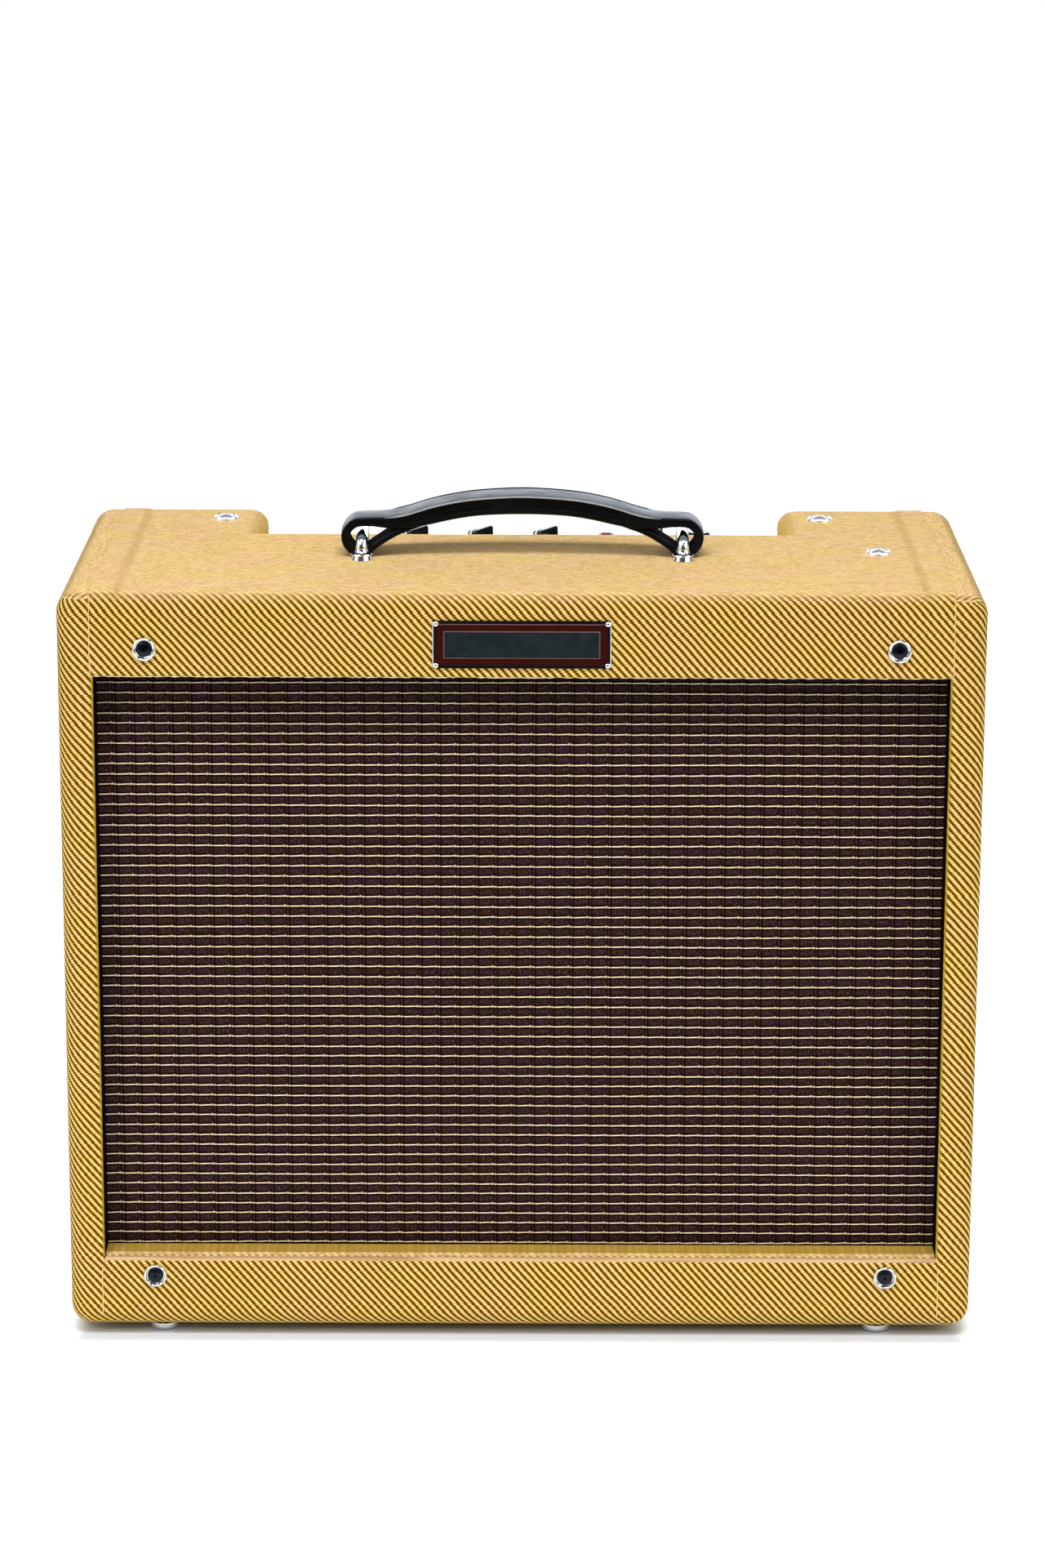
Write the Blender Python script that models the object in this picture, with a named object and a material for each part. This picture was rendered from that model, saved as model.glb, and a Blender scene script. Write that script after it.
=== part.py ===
"""Valve guitar combo amplifier in a cloth-covered cabinet, as separate parts.

Frame: metres, +Z up, +X to the right as seen from the front, the front faces -Y.
The origin is on the floor under the middle of the amplifier's box.
Depths are driven from the front face, heights from the floor.
"""

import math

import bmesh
import bpy
from mathutils import Matrix, Vector

# ---- Driving dimensions -------------------------------------------------
CAB_W = 0.508            # outside width over the cloth
CAB_D = 0.250            # outside depth over the cloth
CAB_H = 0.424            # cabinet height without its feet
FOOT_H = 0.005           # glides lift the cabinet off the floor
EDGE_R = 0.012           # rounding of every outer cabinet edge
BOARD = 0.019            # thickness of the solid-wood boards
SKIN = 0.0008            # thickness of the covering cloth
GAP = 0.0003             # clearance between touching pieces
PROUD = 0.0022           # how far the name plate stands off the front

FINGERS = 7              # finger joints along each corner
OPENING_HALF_W = 0.233   # speaker opening
OPENING_LOW = 0.0435     # above the cabinet's underside
OPENING_HIGH = 0.378
RAIL_T = 0.019

CUT_HALF_W = 0.1515      # control recess in the top board
CUT_FRONT = 0.178        # its front edge, from the cabinet's front face
BAFFLE_T = 0.012
GRILLE_T = 0.001
BACK_T = 0.009

SPEAKER_R = 0.1545       # twelve-inch frame
SPEAKER_Z = 0.210        # its axis above the cabinet's underside
SPEAKER_HOLE_R = 0.141
CONE_R = 0.126
MAGNET_R = 0.077

HANDLE_DEPTH = 0.112     # handle's middle, from the cabinet's front face
BAIL_X = 0.0903
BAIL_SPAN = 0.036        # between a bail's two legs
BAIL_ROD_R = 0.00325
STRAP_W = 0.0232
GRIP_W = 0.028
STRAP_T = 0.0038

CHASSIS_HALF_W = 0.182
CHASSIS_FRONT = 0.152    # from the cabinet's front face
CHASSIS_REAR = 0.238
CHASSIS_H = 0.068
STEEL_T = 0.0016
CONTROL_DEPTH = 0.205    # line of the controls, from the front face

KNOB_X = (-0.062, -0.024, 0.014)
JACK_X = (-0.128, -0.098)
PILOT_X = 0.049
SWITCH_X = 0.080
FUSE_X = 0.103

# ---- Derived places ------------------------------------------------------
FRONT_Y = -(CAB_D + PROUD) / 2 + PROUD
INSET = SKIN + GAP
BOTTOM_Z = FOOT_H
TOP_Z = FOOT_H + CAB_H
HALF_W = CAB_W / 2
INNER_HALF_W = HALF_W - BOARD
INNER_LOW = BOTTOM_Z + BOARD
INNER_HIGH = TOP_Z - BOARD
BAFFLE_FRONT = RAIL_T + INSET + GRILLE_T + 2 * GAP
PANEL_Z = INNER_HIGH - GAP           # upper face of the control panel
HANDLE_Y = FRONT_Y + HANDLE_DEPTH
CONTROL_Y = FRONT_Y + CONTROL_DEPTH
SPEAKER_AXIS = (0.0, SPEAKER_Z + BOTTOM_Z)


def depth(distance):
    """World Y of a distance behind the cabinet's front face."""
    return FRONT_Y + distance


def height(distance):
    """World Z of a distance above the cabinet's underside."""
    return BOTTOM_Z + distance


# ---- Scene and materials ---------------------------------------------------
for old in list(bpy.data.objects):
    bpy.data.objects.remove(old, do_unlink=True)


def make_material(name, colour, roughness, metallic=0.0):
    mat = bpy.data.materials.new(name)
    mat.use_nodes = True
    shader = mat.node_tree.nodes["Principled BSDF"]
    shader.inputs["Base Color"].default_value = (*colour, 1.0)
    shader.inputs["Roughness"].default_value = roughness
    shader.inputs["Metallic"].default_value = metallic
    mat.diffuse_color = (*colour, 1.0)
    return mat


PINE = make_material("pine", (0.62, 0.42, 0.22), 0.7)
PLYWOOD = make_material("plywood", (0.55, 0.38, 0.22), 0.75)
TWEED = make_material("tweed", (0.66, 0.45, 0.13), 0.85)
GRILLE = make_material("grille_cloth", (0.055, 0.03, 0.03), 0.9)
CHROME = make_material("chrome", (0.75, 0.76, 0.78), 0.12, 1.0)
STEEL = make_material("steel", (0.5, 0.5, 0.52), 0.35, 1.0)
BLACK_STEEL = make_material("black_steel", (0.02, 0.02, 0.022), 0.4, 0.6)
LEATHER = make_material("black_leather", (0.02, 0.02, 0.024), 0.45)
BAKELITE = make_material("black_plastic", (0.02, 0.02, 0.02), 0.2)
ENAMEL = make_material("brown_enamel", (0.09, 0.02, 0.015), 0.3)
JEWEL = make_material("jewel", (0.35, 0.05, 0.12), 0.1)
GLASS = make_material("valve_glass", (0.6, 0.65, 0.68), 0.05)
PAPER = make_material("cone_paper", (0.06, 0.055, 0.05), 0.9)
FERRITE = make_material("ferrite", (0.05, 0.05, 0.055), 0.6)
LAMINATION = make_material("transformer_steel", (0.06, 0.06, 0.065), 0.5, 0.5)
FIBRE = make_material("fibre_board", (0.30, 0.17, 0.08), 0.8)


# ---- Mesh helpers ----------------------------------------------------------
def add_object(name, bm, mat, at=(0, 0, 0), smooth=None):
    """A named object from a bmesh whose coordinates are local to `at`."""
    bmesh.ops.recalc_face_normals(bm, faces=bm.faces[:])
    mesh = bpy.data.meshes.new(name)
    bm.to_mesh(mesh)
    bm.free()
    mesh.materials.append(mat)
    if smooth is not None:
        mesh.shade_smooth()
        mesh.set_sharp_from_angle(angle=math.radians(smooth))
    obj = bpy.data.objects.new(name, mesh)
    obj.location = at
    bpy.context.scene.collection.objects.link(obj)
    return obj


def helper(obj):
    """Marks a cutter or a piece that a Boolean joins to another."""
    obj.hide_render = True
    obj.display_type = "WIRE"
    return obj


def combine(obj, other, operation):
    modifier = obj.modifiers.new(f"{operation.lower()}_{other.name}", "BOOLEAN")
    modifier.operation = operation
    modifier.object = helper(other)
    modifier.solver = "EXACT"
    return obj


def cut(obj, cutter):
    return combine(obj, cutter, "DIFFERENCE")


def join(obj, other):
    return combine(obj, other, "UNION")


def box_bm(low, high):
    bm = bmesh.new()
    bmesh.ops.create_cube(bm, size=1.0)
    size = [h - l for l, h in zip(low, high)]
    middle = [(h + l) / 2 for l, h in zip(low, high)]
    bmesh.ops.scale(bm, vec=size, verts=bm.verts)
    bmesh.ops.translate(bm, vec=middle, verts=bm.verts)
    return bm


def rounded_box_bm(low, high, radius, segments):
    bm = box_bm(low, high)
    bmesh.ops.bevel(
        bm, geom=bm.edges[:], offset=radius, segments=segments, profile=0.5, affect="EDGES"
    )
    return bm


def box(name, low, high, mat, bevel=0.0):
    bm = rounded_box_bm(low, high, bevel, 2) if bevel else box_bm(low, high)
    return add_object(name, bm, mat)


def turned_bm(profile, segments=24, ring=False):
    """Turns (radius, z) points round Z.

    A ring profile closes on itself; others end on the axis or are capped.
    """
    bm = bmesh.new()
    rows = []
    for radius, z in profile:
        if radius < 1e-7:
            rows.append([bm.verts.new((0, 0, z))])
            continue
        angles = [2 * math.pi * i / segments for i in range(segments)]
        rows.append([bm.verts.new((radius * math.cos(a), radius * math.sin(a), z)) for a in angles])
    pairs = list(zip(rows, rows[1:]))
    if ring:
        pairs.append((rows[-1], rows[0]))
    for low, high in pairs:
        for i in range(segments):
            j = (i + 1) % segments
            if len(low) == 1 and len(high) == 1:
                break
            if len(low) == 1:
                bm.faces.new((low[0], high[i], high[j]))
            elif len(high) == 1:
                bm.faces.new((low[i], low[j], high[0]))
            else:
                bm.faces.new((low[i], low[j], high[j], high[i]))
    if not ring:
        for row in (rows[0], rows[-1]):
            if len(row) > 1:
                bm.faces.new(row)
    return bm


def turned(name, profile, mat, at, towards="+Z", segments=24, ring=False, smooth=35):
    """A turned piece whose local Z is laid along `towards`."""
    bm = turned_bm(profile, segments, ring)
    turns = {
        "+Z": Matrix.Identity(4),
        "-Z": Matrix.Rotation(math.pi, 4, "X"),
        "-Y": Matrix.Rotation(math.pi / 2, 4, "X"),
        "+Y": Matrix.Rotation(-math.pi / 2, 4, "X"),
    }
    bmesh.ops.transform(bm, matrix=turns[towards], verts=bm.verts)
    return add_object(name, bm, mat, at, smooth)


def rod_cutter(name, radius, low, high, at, towards="+Z", segments=12):
    return turned(name, [(radius, low), (radius, high)], STEEL, at, towards, segments)


def prism_bm(outline, low, high, axis):
    """Extrudes a closed 2-D outline between two coordinates of `axis`.

    The outline's two numbers are the other axes in order.
    """
    bm = bmesh.new()
    order = {
        "X": lambda a, b, c: (c, a, b),
        "Y": lambda a, b, c: (a, c, b),
        "Z": lambda a, b, c: (a, b, c),
    }
    place = order[axis]
    face = bm.faces.new([bm.verts.new(place(a, b, low)) for a, b in outline])
    made = bmesh.ops.extrude_face_region(bm, geom=[face])
    moved = [v for v in made["geom"] if isinstance(v, bmesh.types.BMVert)]
    bmesh.ops.translate(bm, vec=Vector(place(0, 0, high - low)), verts=moved)
    return bm


def tube_bm(path, radius, sides=8):
    """A round rod along a list of points that lie in one plane of constant X."""
    bm = bmesh.new()
    points = [Vector(p) for p in path]
    rings = []
    across = Vector((1, 0, 0))
    for i, point in enumerate(points):
        before = points[max(i - 1, 0)]
        after = points[min(i + 1, len(points) - 1)]
        along = (after - before).normalized()
        other = along.cross(across).normalized()
        ring = []
        for k in range(sides):
            a = 2 * math.pi * k / sides
            ring.append(bm.verts.new(point + radius * (math.cos(a) * across + math.sin(a) * other)))
        rings.append(ring)
    for low, high in zip(rings, rings[1:]):
        for i in range(sides):
            j = (i + 1) % sides
            bm.faces.new((low[i], low[j], high[j], high[i]))
    bm.faces.new(rings[0])
    bm.faces.new(rings[-1])
    return bm


def arc(centre, radius, start, end, steps):
    """Points on an arc; angles in degrees."""
    points = []
    for i in range(steps + 1):
        a = math.radians(start + (end - start) * i / steps)
        points.append((centre[0] + radius * math.cos(a), centre[1] + radius * math.sin(a)))
    return points


# ---- Cabinet envelope and recess -------------------------------------------
def envelope_bm(inset, segments=3):
    low = (-HALF_W + inset, depth(inset), BOTTOM_Z + inset)
    high = (HALF_W - inset, depth(CAB_D - inset), TOP_Z - inset)
    return rounded_box_bm(low, high, EDGE_R - inset, segments)


def recess_bm(inset, floor_z):
    """Control recess with a rounded-over lip, grown by `inset` all round.

    It runs out past the rear face.
    """
    radius = EDGE_R - inset
    top = TOP_Z - inset
    steps = 4
    levels = []
    for i in range(steps + 1):
        angle = math.pi / 2 * i / steps
        levels.append((radius - radius * math.cos(angle), top - radius + radius * math.sin(angle)))
    levels = [(0.0, floor_z), *levels, (radius, TOP_Z + 0.02)]
    bm = bmesh.new()
    rows = []
    for flare, z in levels:
        half = CUT_HALF_W + inset + flare
        front = depth(CUT_FRONT - inset - flare)
        rear = depth(CAB_D + 0.03)
        corners = ((-half, front), (half, front), (half, rear), (-half, rear))
        rows.append([bm.verts.new((x, y, z)) for x, y in corners])
    for low, high in zip(rows, rows[1:]):
        for i in range(4):
            j = (i + 1) % 4
            bm.faces.new((low[i], low[j], high[j], high[i]))
    bm.faces.new(rows[0])
    bm.faces.new(rows[-1])
    return bm


def finger_edges(owned):
    """Runs (start, end, is_finger) along the depth.

    `owned` is 0 for the sides' fingers and 1 for the top's and bottom's.
    """
    pitch = CAB_D / FINGERS
    runs = []
    for i in range(FINGERS):
        is_finger = i % 2 == owned
        shift = GAP / 2 if is_finger else -GAP / 2
        start = i * pitch + (shift if i else 0.0)
        end = (i + 1) * pitch - (shift if i < FINGERS - 1 else 0.0)
        runs.append((start, end, is_finger))
    return runs


def finger_outline(owned, near, far, near_short, far_short):
    """Board outline as (depth, across), where across runs from near to far.

    It is cut back to the short values where the other board's fingers are.
    """
    runs = finger_edges(owned)
    outline = []
    for start, end, is_finger in runs:
        across = near if is_finger else near_short
        outline += [(depth(start), across), (depth(end), across)]
    for start, end, is_finger in reversed(runs):
        across = far if is_finger else far_short
        outline += [(depth(end), across), (depth(start), across)]
    return outline


def board(name, bm, mat=PINE):
    obj = add_object(name, bm, mat)
    return combine(obj, add_object(f"{name}_envelope", envelope_bm(INSET), mat), "INTERSECT")


BACK_FRONT = CAB_D - INSET - BACK_T - 0.001     # front face of both back panels
CLEAT = 0.016                                     # battens that carry the back panels
CLEAT_RUNS = ((0.030, 0.150), (0.345, 0.398))   # lower and upper cleats, above the underside


def make_side(name, sign):
    outline = finger_outline(
        0, BOTTOM_Z, TOP_Z, INNER_LOW + INSET + GAP / 2, INNER_HIGH - INSET - GAP / 2
    )
    inner = sign * INNER_HALF_W
    outer = sign * HALF_W
    obj = board(name, prism_bm(outline, min(inner, outer), max(inner, outer), "X"))
    for i, (low, high) in enumerate(CLEAT_RUNS):
        wall = sign * (INNER_HALF_W + 0.004)
        tip = sign * (INNER_HALF_W - CLEAT)
        cleat = box(
            f"{name}_cleat_{i}",
            (min(wall, tip), depth(BACK_FRONT - CLEAT - GAP), height(low)),
            (max(wall, tip), depth(BACK_FRONT - GAP), height(high)),
            PINE,
        )
        join(obj, cleat)
    return obj


def make_flat_board(name, low, high):
    outline = finger_outline(
        1, -HALF_W, HALF_W, -INNER_HALF_W + GAP / 2, INNER_HALF_W - GAP / 2
    )
    swapped = [(across, along) for along, across in outline]
    return board(name, prism_bm(swapped, low, high, "Z"))


side_left = make_side("side_panel_left", -1)
side_right = make_side("side_panel_right", 1)
bottom_panel = make_flat_board("bottom_panel", BOTTOM_Z, INNER_LOW + INSET - GAP / 2)
top_panel = make_flat_board("top_panel", INNER_HIGH + GAP / 2, TOP_Z)
cut(top_panel, add_object("top_recess", recess_bm(INSET, INNER_HIGH - 0.01), PINE))

FRONT_IN = depth(INSET)
RAIL_BACK = depth(INSET + RAIL_T)
upper_rail = box(
    "upper_front_rail",
    (-INNER_HALF_W + GAP, FRONT_IN, height(OPENING_HIGH) + INSET),
    (INNER_HALF_W - GAP, RAIL_BACK, INNER_HIGH),
    PINE,
)
lower_rail = box(
    "lower_front_rail",
    (-INNER_HALF_W + GAP, FRONT_IN, INNER_LOW + INSET + GAP),
    (INNER_HALF_W - GAP, RAIL_BACK, height(OPENING_LOW) - INSET),
    PINE,
)

# ---- Baffle, grille cloth and back panels ------------------------------------
BAFFLE_HALF_W = INNER_HALF_W - 0.0008
BAFFLE_LOW = INNER_LOW + INSET + GAP
BAFFLE_HIGH = INNER_HIGH - GAP
baffle = box(
    "baffle_board",
    (-BAFFLE_HALF_W, depth(BAFFLE_FRONT), BAFFLE_LOW),
    (BAFFLE_HALF_W, depth(BAFFLE_FRONT + BAFFLE_T), BAFFLE_HIGH),
    PLYWOOD,
)
cut(
    baffle,
    rod_cutter(
        "baffle_hole", SPEAKER_HOLE_R, -0.05, 0.05,
        (0, depth(BAFFLE_FRONT), SPEAKER_AXIS[1]), "+Y", 32,
    ),
)
box(
    "grille_cloth",
    (-BAFFLE_HALF_W, RAIL_BACK + GAP, BAFFLE_LOW),
    (BAFFLE_HALF_W, RAIL_BACK + GAP + GRILLE_T, BAFFLE_HIGH),
    GRILLE,
)

BACK_HALF_W = INNER_HALF_W - 0.0008
box(
    "upper_back_panel",
    (-BACK_HALF_W, depth(BACK_FRONT), height(0.332)),
    (BACK_HALF_W, depth(BACK_FRONT + BACK_T), INNER_HIGH - GAP),
    PLYWOOD,
)
box(
    "lower_back_panel",
    (-BACK_HALF_W, depth(BACK_FRONT), INNER_LOW + INSET + GAP),
    (BACK_HALF_W, depth(BACK_FRONT + BACK_T), height(0.160)),
    PLYWOOD,
)

# ---- Covering cloth: one shell over the boards and rails -----------------------
covering = add_object("tweed_covering", envelope_bm(0.0), TWEED)
cut(covering, add_object("covering_recess", recess_bm(0.0, INNER_HIGH - 0.006), TWEED))
core = add_object("covering_core", envelope_bm(SKIN), TWEED)
cut(core, add_object("covering_core_recess", recess_bm(SKIN, INNER_HIGH + GAP / 2), TWEED))
cut(covering, core)
front_hole = box(
    "covering_front_hole",
    (-OPENING_HALF_W, depth(-0.02), height(OPENING_LOW)),
    (OPENING_HALF_W, depth(0.02), height(OPENING_HIGH)),
    TWEED,
)
cut(covering, front_hole)
rear_hole = box(
    "covering_rear_hole",
    (-INNER_HALF_W, depth(CAB_D - 0.02), INNER_LOW),
    (INNER_HALF_W, depth(CAB_D + 0.02), INNER_HIGH - 0.0004),
    TWEED,
)
cut(covering, rear_hole)

# ---- Front screws, cup washers and name plate -----------------------------------
SCREW_X = 0.2055
SCREW_HIGH = 0.3935
SCREW_LOW = 0.032
SCREW_PLACES = (
    (-SCREW_X, SCREW_HIGH),
    (SCREW_X, SCREW_HIGH),
    (-SCREW_X, SCREW_LOW),
    (SCREW_X, SCREW_LOW),
)
SHANK_R = 0.0021
CUP_PROFILE = [
    (0.0046, 0.0003),
    (0.0066, 0.0003),
    (0.0062, 0.0014),
    (0.0054, 0.0021),
    (0.0049, 0.0019),
    (0.0036, 0.0006),
    (0.0034, 0.0003),
]
HEAD_PROFILE = [
    (0.0, 0.0021),
    (0.0024, 0.0020),
    (0.0042, 0.0016),
    (0.0030, 0.0009),
    (SHANK_R, 0.0002),
    (SHANK_R, -0.0290),
    (0.0, -0.0310),
]
for number, (x, z) in enumerate(SCREW_PLACES, start=1):
    place = (x, depth(0.0), height(z))
    turned(f"cup_washer_{number}", CUP_PROFILE, CHROME, place, "-Y", 12, ring=True)
    turned(f"baffle_screw_{number}", HEAD_PROFILE, BLACK_STEEL, place, "-Y", 12)
    hole = rod_cutter(f"front_screw_hole_{number}", SHANK_R + GAP, -0.034, 0.01, place, "-Y")
    rail = upper_rail if z > 0.2 else lower_rail
    for part in (rail, covering, baffle, bpy.data.objects["grille_cloth"]):
        cut(part, hole)

PLATE_HALF_W = 0.0485
PLATE_LOW = 0.3835
PLATE_HIGH = 0.4100
plate = box(
    "name_plate",
    (-PLATE_HALF_W, depth(-PROUD), height(PLATE_LOW)),
    (PLATE_HALF_W, depth(-GAP), height(PLATE_HIGH)),
    ENAMEL,
)
PIN_INSET = 0.0022
PIN_R = 0.0009
PIN_PROFILE = [
    (0.0, 0.0008),
    (PIN_R, 0.0006),
    (PIN_R, -0.0120),
    (0.0, -0.0130),
]
PIN_X = PLATE_HALF_W - PIN_INSET
PIN_PLACES = (
    (-PIN_X, PLATE_LOW + PIN_INSET),
    (PIN_X, PLATE_LOW + PIN_INSET),
    (-PIN_X, PLATE_HIGH - PIN_INSET),
    (PIN_X, PLATE_HIGH - PIN_INSET),
)
for number, (x, z) in enumerate(PIN_PLACES):
    place = (x, depth(0.0), height(z))
    join(plate, turned(f"plate_pin_{number}", PIN_PROFILE, CHROME, place, "-Y", 10))
    hole = rod_cutter(f"plate_pin_hole_{number}", PIN_R + GAP, -0.0150, 0.002, place, "-Y", 10)
    for part in (covering, upper_rail, top_panel):
        cut(part, hole)

# ---- Feet ------------------------------------------------------------------------
FOOT_X = 0.202
FOOT_INSET = 0.017
FOOT_NAIL_R = 0.0015
FOOT_PROFILE = [
    (0.0055, 0.0),
    (0.0078, 0.0006),
    (0.0088, 0.0018),
    (0.0094, 0.0036),
    (0.0094, FOOT_H - GAP),
    (FOOT_NAIL_R, FOOT_H - GAP),
    (FOOT_NAIL_R, 0.0170),
    (0.0, 0.0190),
]
FOOT_PLACES = (
    (-FOOT_X, FOOT_INSET),
    (FOOT_X, FOOT_INSET),
    (-FOOT_X, CAB_D - FOOT_INSET),
    (FOOT_X, CAB_D - FOOT_INSET),
)
for number, (x, y) in enumerate(FOOT_PLACES, start=1):
    place = (x, depth(y), 0.0)
    turned(f"foot_{number}", FOOT_PROFILE, CHROME, place, "+Z", 14)
    hole = rod_cutter(f"foot_nail_hole_{number}", FOOT_NAIL_R + GAP, 0.002, 0.0200, place, "+Z", 10)
    cut(bottom_panel, hole)
    cut(covering, hole)

# ---- Chassis -----------------------------------------------------------------------
CHASSIS_LOW = PANEL_Z - CHASSIS_H
chassis = box(
    "chassis",
    (-CHASSIS_HALF_W, depth(CHASSIS_FRONT), CHASSIS_LOW),
    (CHASSIS_HALF_W, depth(CHASSIS_REAR), PANEL_Z),
    CHROME,
)
cut(
    chassis,
    box(
        "chassis_bay",
        (-CHASSIS_HALF_W + STEEL_T, depth(CHASSIS_FRONT + STEEL_T), CHASSIS_LOW + STEEL_T),
        (CHASSIS_HALF_W - STEEL_T, depth(CHASSIS_REAR + 0.02), PANEL_Z - STEEL_T),
        CHROME,
    ),
)
PANEL_UNDER = PANEL_Z - STEEL_T

# Screws through the top board. Two hold the chassis, the third the power transformer.
TOP_SCREWS = ((-0.174, 0.210), (0.174, 0.210), (0.2015, 0.113))
TOP_SHANK_R = 0.0024
TOP_SCREW_PROFILE = [
    (0.0, 0.0030),
    (0.0025, 0.0028),
    (0.0042, 0.0018),
    (0.0068, 0.0013),
    (0.0070, GAP),
    (TOP_SHANK_R, GAP),
    (TOP_SHANK_R, -0.0300),
    (0.0, -0.0310),
]
for number, (x, y) in enumerate(TOP_SCREWS, start=1):
    place = (x, depth(y), TOP_Z)
    turned(f"chassis_screw_{number}", TOP_SCREW_PROFILE, CHROME, place, "+Z", 12)
    hole = rod_cutter(f"top_screw_hole_{number}", TOP_SHANK_R + GAP, -0.035, 0.01, place, "+Z", 12)
    for part in (top_panel, covering, chassis):
        cut(part, hole)

# ---- Handle ------------------------------------------------------------------------
LOOP_X = 0.0915            # centre of each strap loop
LOOP_Z = TOP_Z + GAP + 0.0105
LOOP_OUTER_R = 0.0105
LOOP_INNER_R = LOOP_OUTER_R - STRAP_T
GRIP_TOP = (              # half of the grip's upper edge, from the middle outwards
    (0.0, 0.0360),
    (0.022, 0.0349),
    (0.037, 0.0330),
    (0.051, 0.0298),
    (0.065, 0.0252),
    (0.076, 0.0222),
)
GRIP_BOTTOM = (           # half of its lower edge, from the middle to the strap's return
    (0.0, 0.0249),
    (0.022, 0.0242),
    (0.037, 0.0222),
    (0.051, 0.0190),
    (0.063, 0.0144),
)


def handle_outline():
    """Side outline of grip and strap loops as (x, z), right half then mirrored."""
    top = [(x, TOP_Z + z) for x, z in GRIP_TOP]
    loop = arc((LOOP_X, LOOP_Z), LOOP_OUTER_R, 84, -113, 10)
    bottom = [(x, TOP_Z + z) for x, z in reversed(GRIP_BOTTOM)]
    half = top + loop + bottom
    mirrored = [(-x, z) for x, z in reversed(half[1:-1])]
    return half + mirrored


def loop_hole_outline(sign):
    """Teardrop gap inside a strap loop."""
    round_end = arc((LOOP_X, LOOP_Z), LOOP_INNER_R, 90, -112, 8)
    inner_end = [(0.0735, TOP_Z + 0.0160)]
    points = round_end + inner_end
    return [(sign * x, z) for x, z in points]


handle = add_object(
    "handle_grip",
    prism_bm(handle_outline(), HANDLE_Y - GRIP_W / 2, HANDLE_Y + GRIP_W / 2, "Y"),
    LEATHER,
)
for sign, label in ((-1, "left"), (1, "right")):
    cut(
        handle,
        add_object(
            f"loop_hole_{label}",
            prism_bm(loop_hole_outline(sign), HANDLE_Y - 0.03, HANDLE_Y + 0.03, "Y"),
            LEATHER,
        ),
    )
    for side in (-1, 1):
        edge = HANDLE_Y + side * STRAP_W / 2
        beyond = HANDLE_Y + side * 0.03
        cut(
            handle,
            box(
                f"strap_shoulder_{label}_{side}",
                (min(sign * 0.079, sign * 0.12), min(edge, beyond), TOP_Z - 0.01),
                (max(sign * 0.079, sign * 0.12), max(edge, beyond), TOP_Z + 0.05),
                LEATHER,
            ),
        )

BAIL_BEND = 0.0055
BAIL_BAR_Z = TOP_Z + 0.0114
BAIL_FOOT_Z = TOP_Z - 0.0260
FERRULE_PROFILE = [
    (0.0, GAP),
    (0.0057, GAP),
    (0.0057, 0.0038),
    (0.0061, 0.0044),
    (0.0057, 0.0052),
    (0.0040, 0.0060),
    (0.0, 0.0060),
]


BAIL_NUT_PROFILE = [
    (0.0, -0.0045),
    (0.0055, -0.0045),
    (0.0055, -0.0010),
    (0.0, -0.0010),
]


def make_bail(name, x):
    front = HANDLE_Y - BAIL_SPAN / 2
    rear = HANDLE_Y + BAIL_SPAN / 2
    bend_z = BAIL_BAR_Z - BAIL_BEND
    line = [(front, BAIL_FOOT_Z)]
    line += arc((front + BAIL_BEND, bend_z), BAIL_BEND, 180, 90, 4)
    line += arc((rear - BAIL_BEND, bend_z), BAIL_BEND, 90, 0, 4)
    line += [(rear, BAIL_FOOT_Z)]
    bail = add_object(name, tube_bm([(x, y, z) for y, z in line], BAIL_ROD_R), CHROME, smooth=50)
    for tag, y in (("front", front), ("rear", rear)):
        seat = (x, y, TOP_Z)
        join(bail, turned(f"{name}_{tag}_ferrule", FERRULE_PROFILE, CHROME, seat, "+Z", 12))
        under = (x, y, INNER_HIGH)
        join(bail, turned(f"{name}_{tag}_nut", BAIL_NUT_PROFILE, STEEL, under, "+Z", 6))
        hole = rod_cutter(f"{name}_{tag}_hole", BAIL_ROD_R + GAP, -0.03, 0.005, seat)
        cut(top_panel, hole)
        cut(covering, hole)


make_bail("handle_bail_left", -BAIL_X)
make_bail("handle_bail_right", BAIL_X)

# ---- Controls ------------------------------------------------------------------------
SHAFT_R = 0.0030
SHAFT_CLEARANCE = 0.0003
BUSHING_R = 0.0045       # threaded neck of a potentiometer
POT_TOP = 0.0032         # end of that neck, above the panel
KNOB_H = 0.0128          # from the end of the neck to the knob's crest
KNOB_LIFT = 0.0009       # air gap between a knob's skirt and the nut under it
KNOB_BASE = KNOB_LIFT + 0.0040
KNOB_TAIL = 0.0081
KNOB_BEAK = 0.0122
KNOB_TAIL_HALF = 0.0042  # half widths of the bar at its foot
KNOB_TIP_HALF = 0.0036
KNOB_CORNER_R = 0.0015
KNOB_SLOPE = 0.03        # fall of the crest towards the beak's tip
KNOB_TAPER = (0.96, 0.76)
KNOB_TURN = math.radians(58)   # from -X towards the front, where the pointers rest


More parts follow.
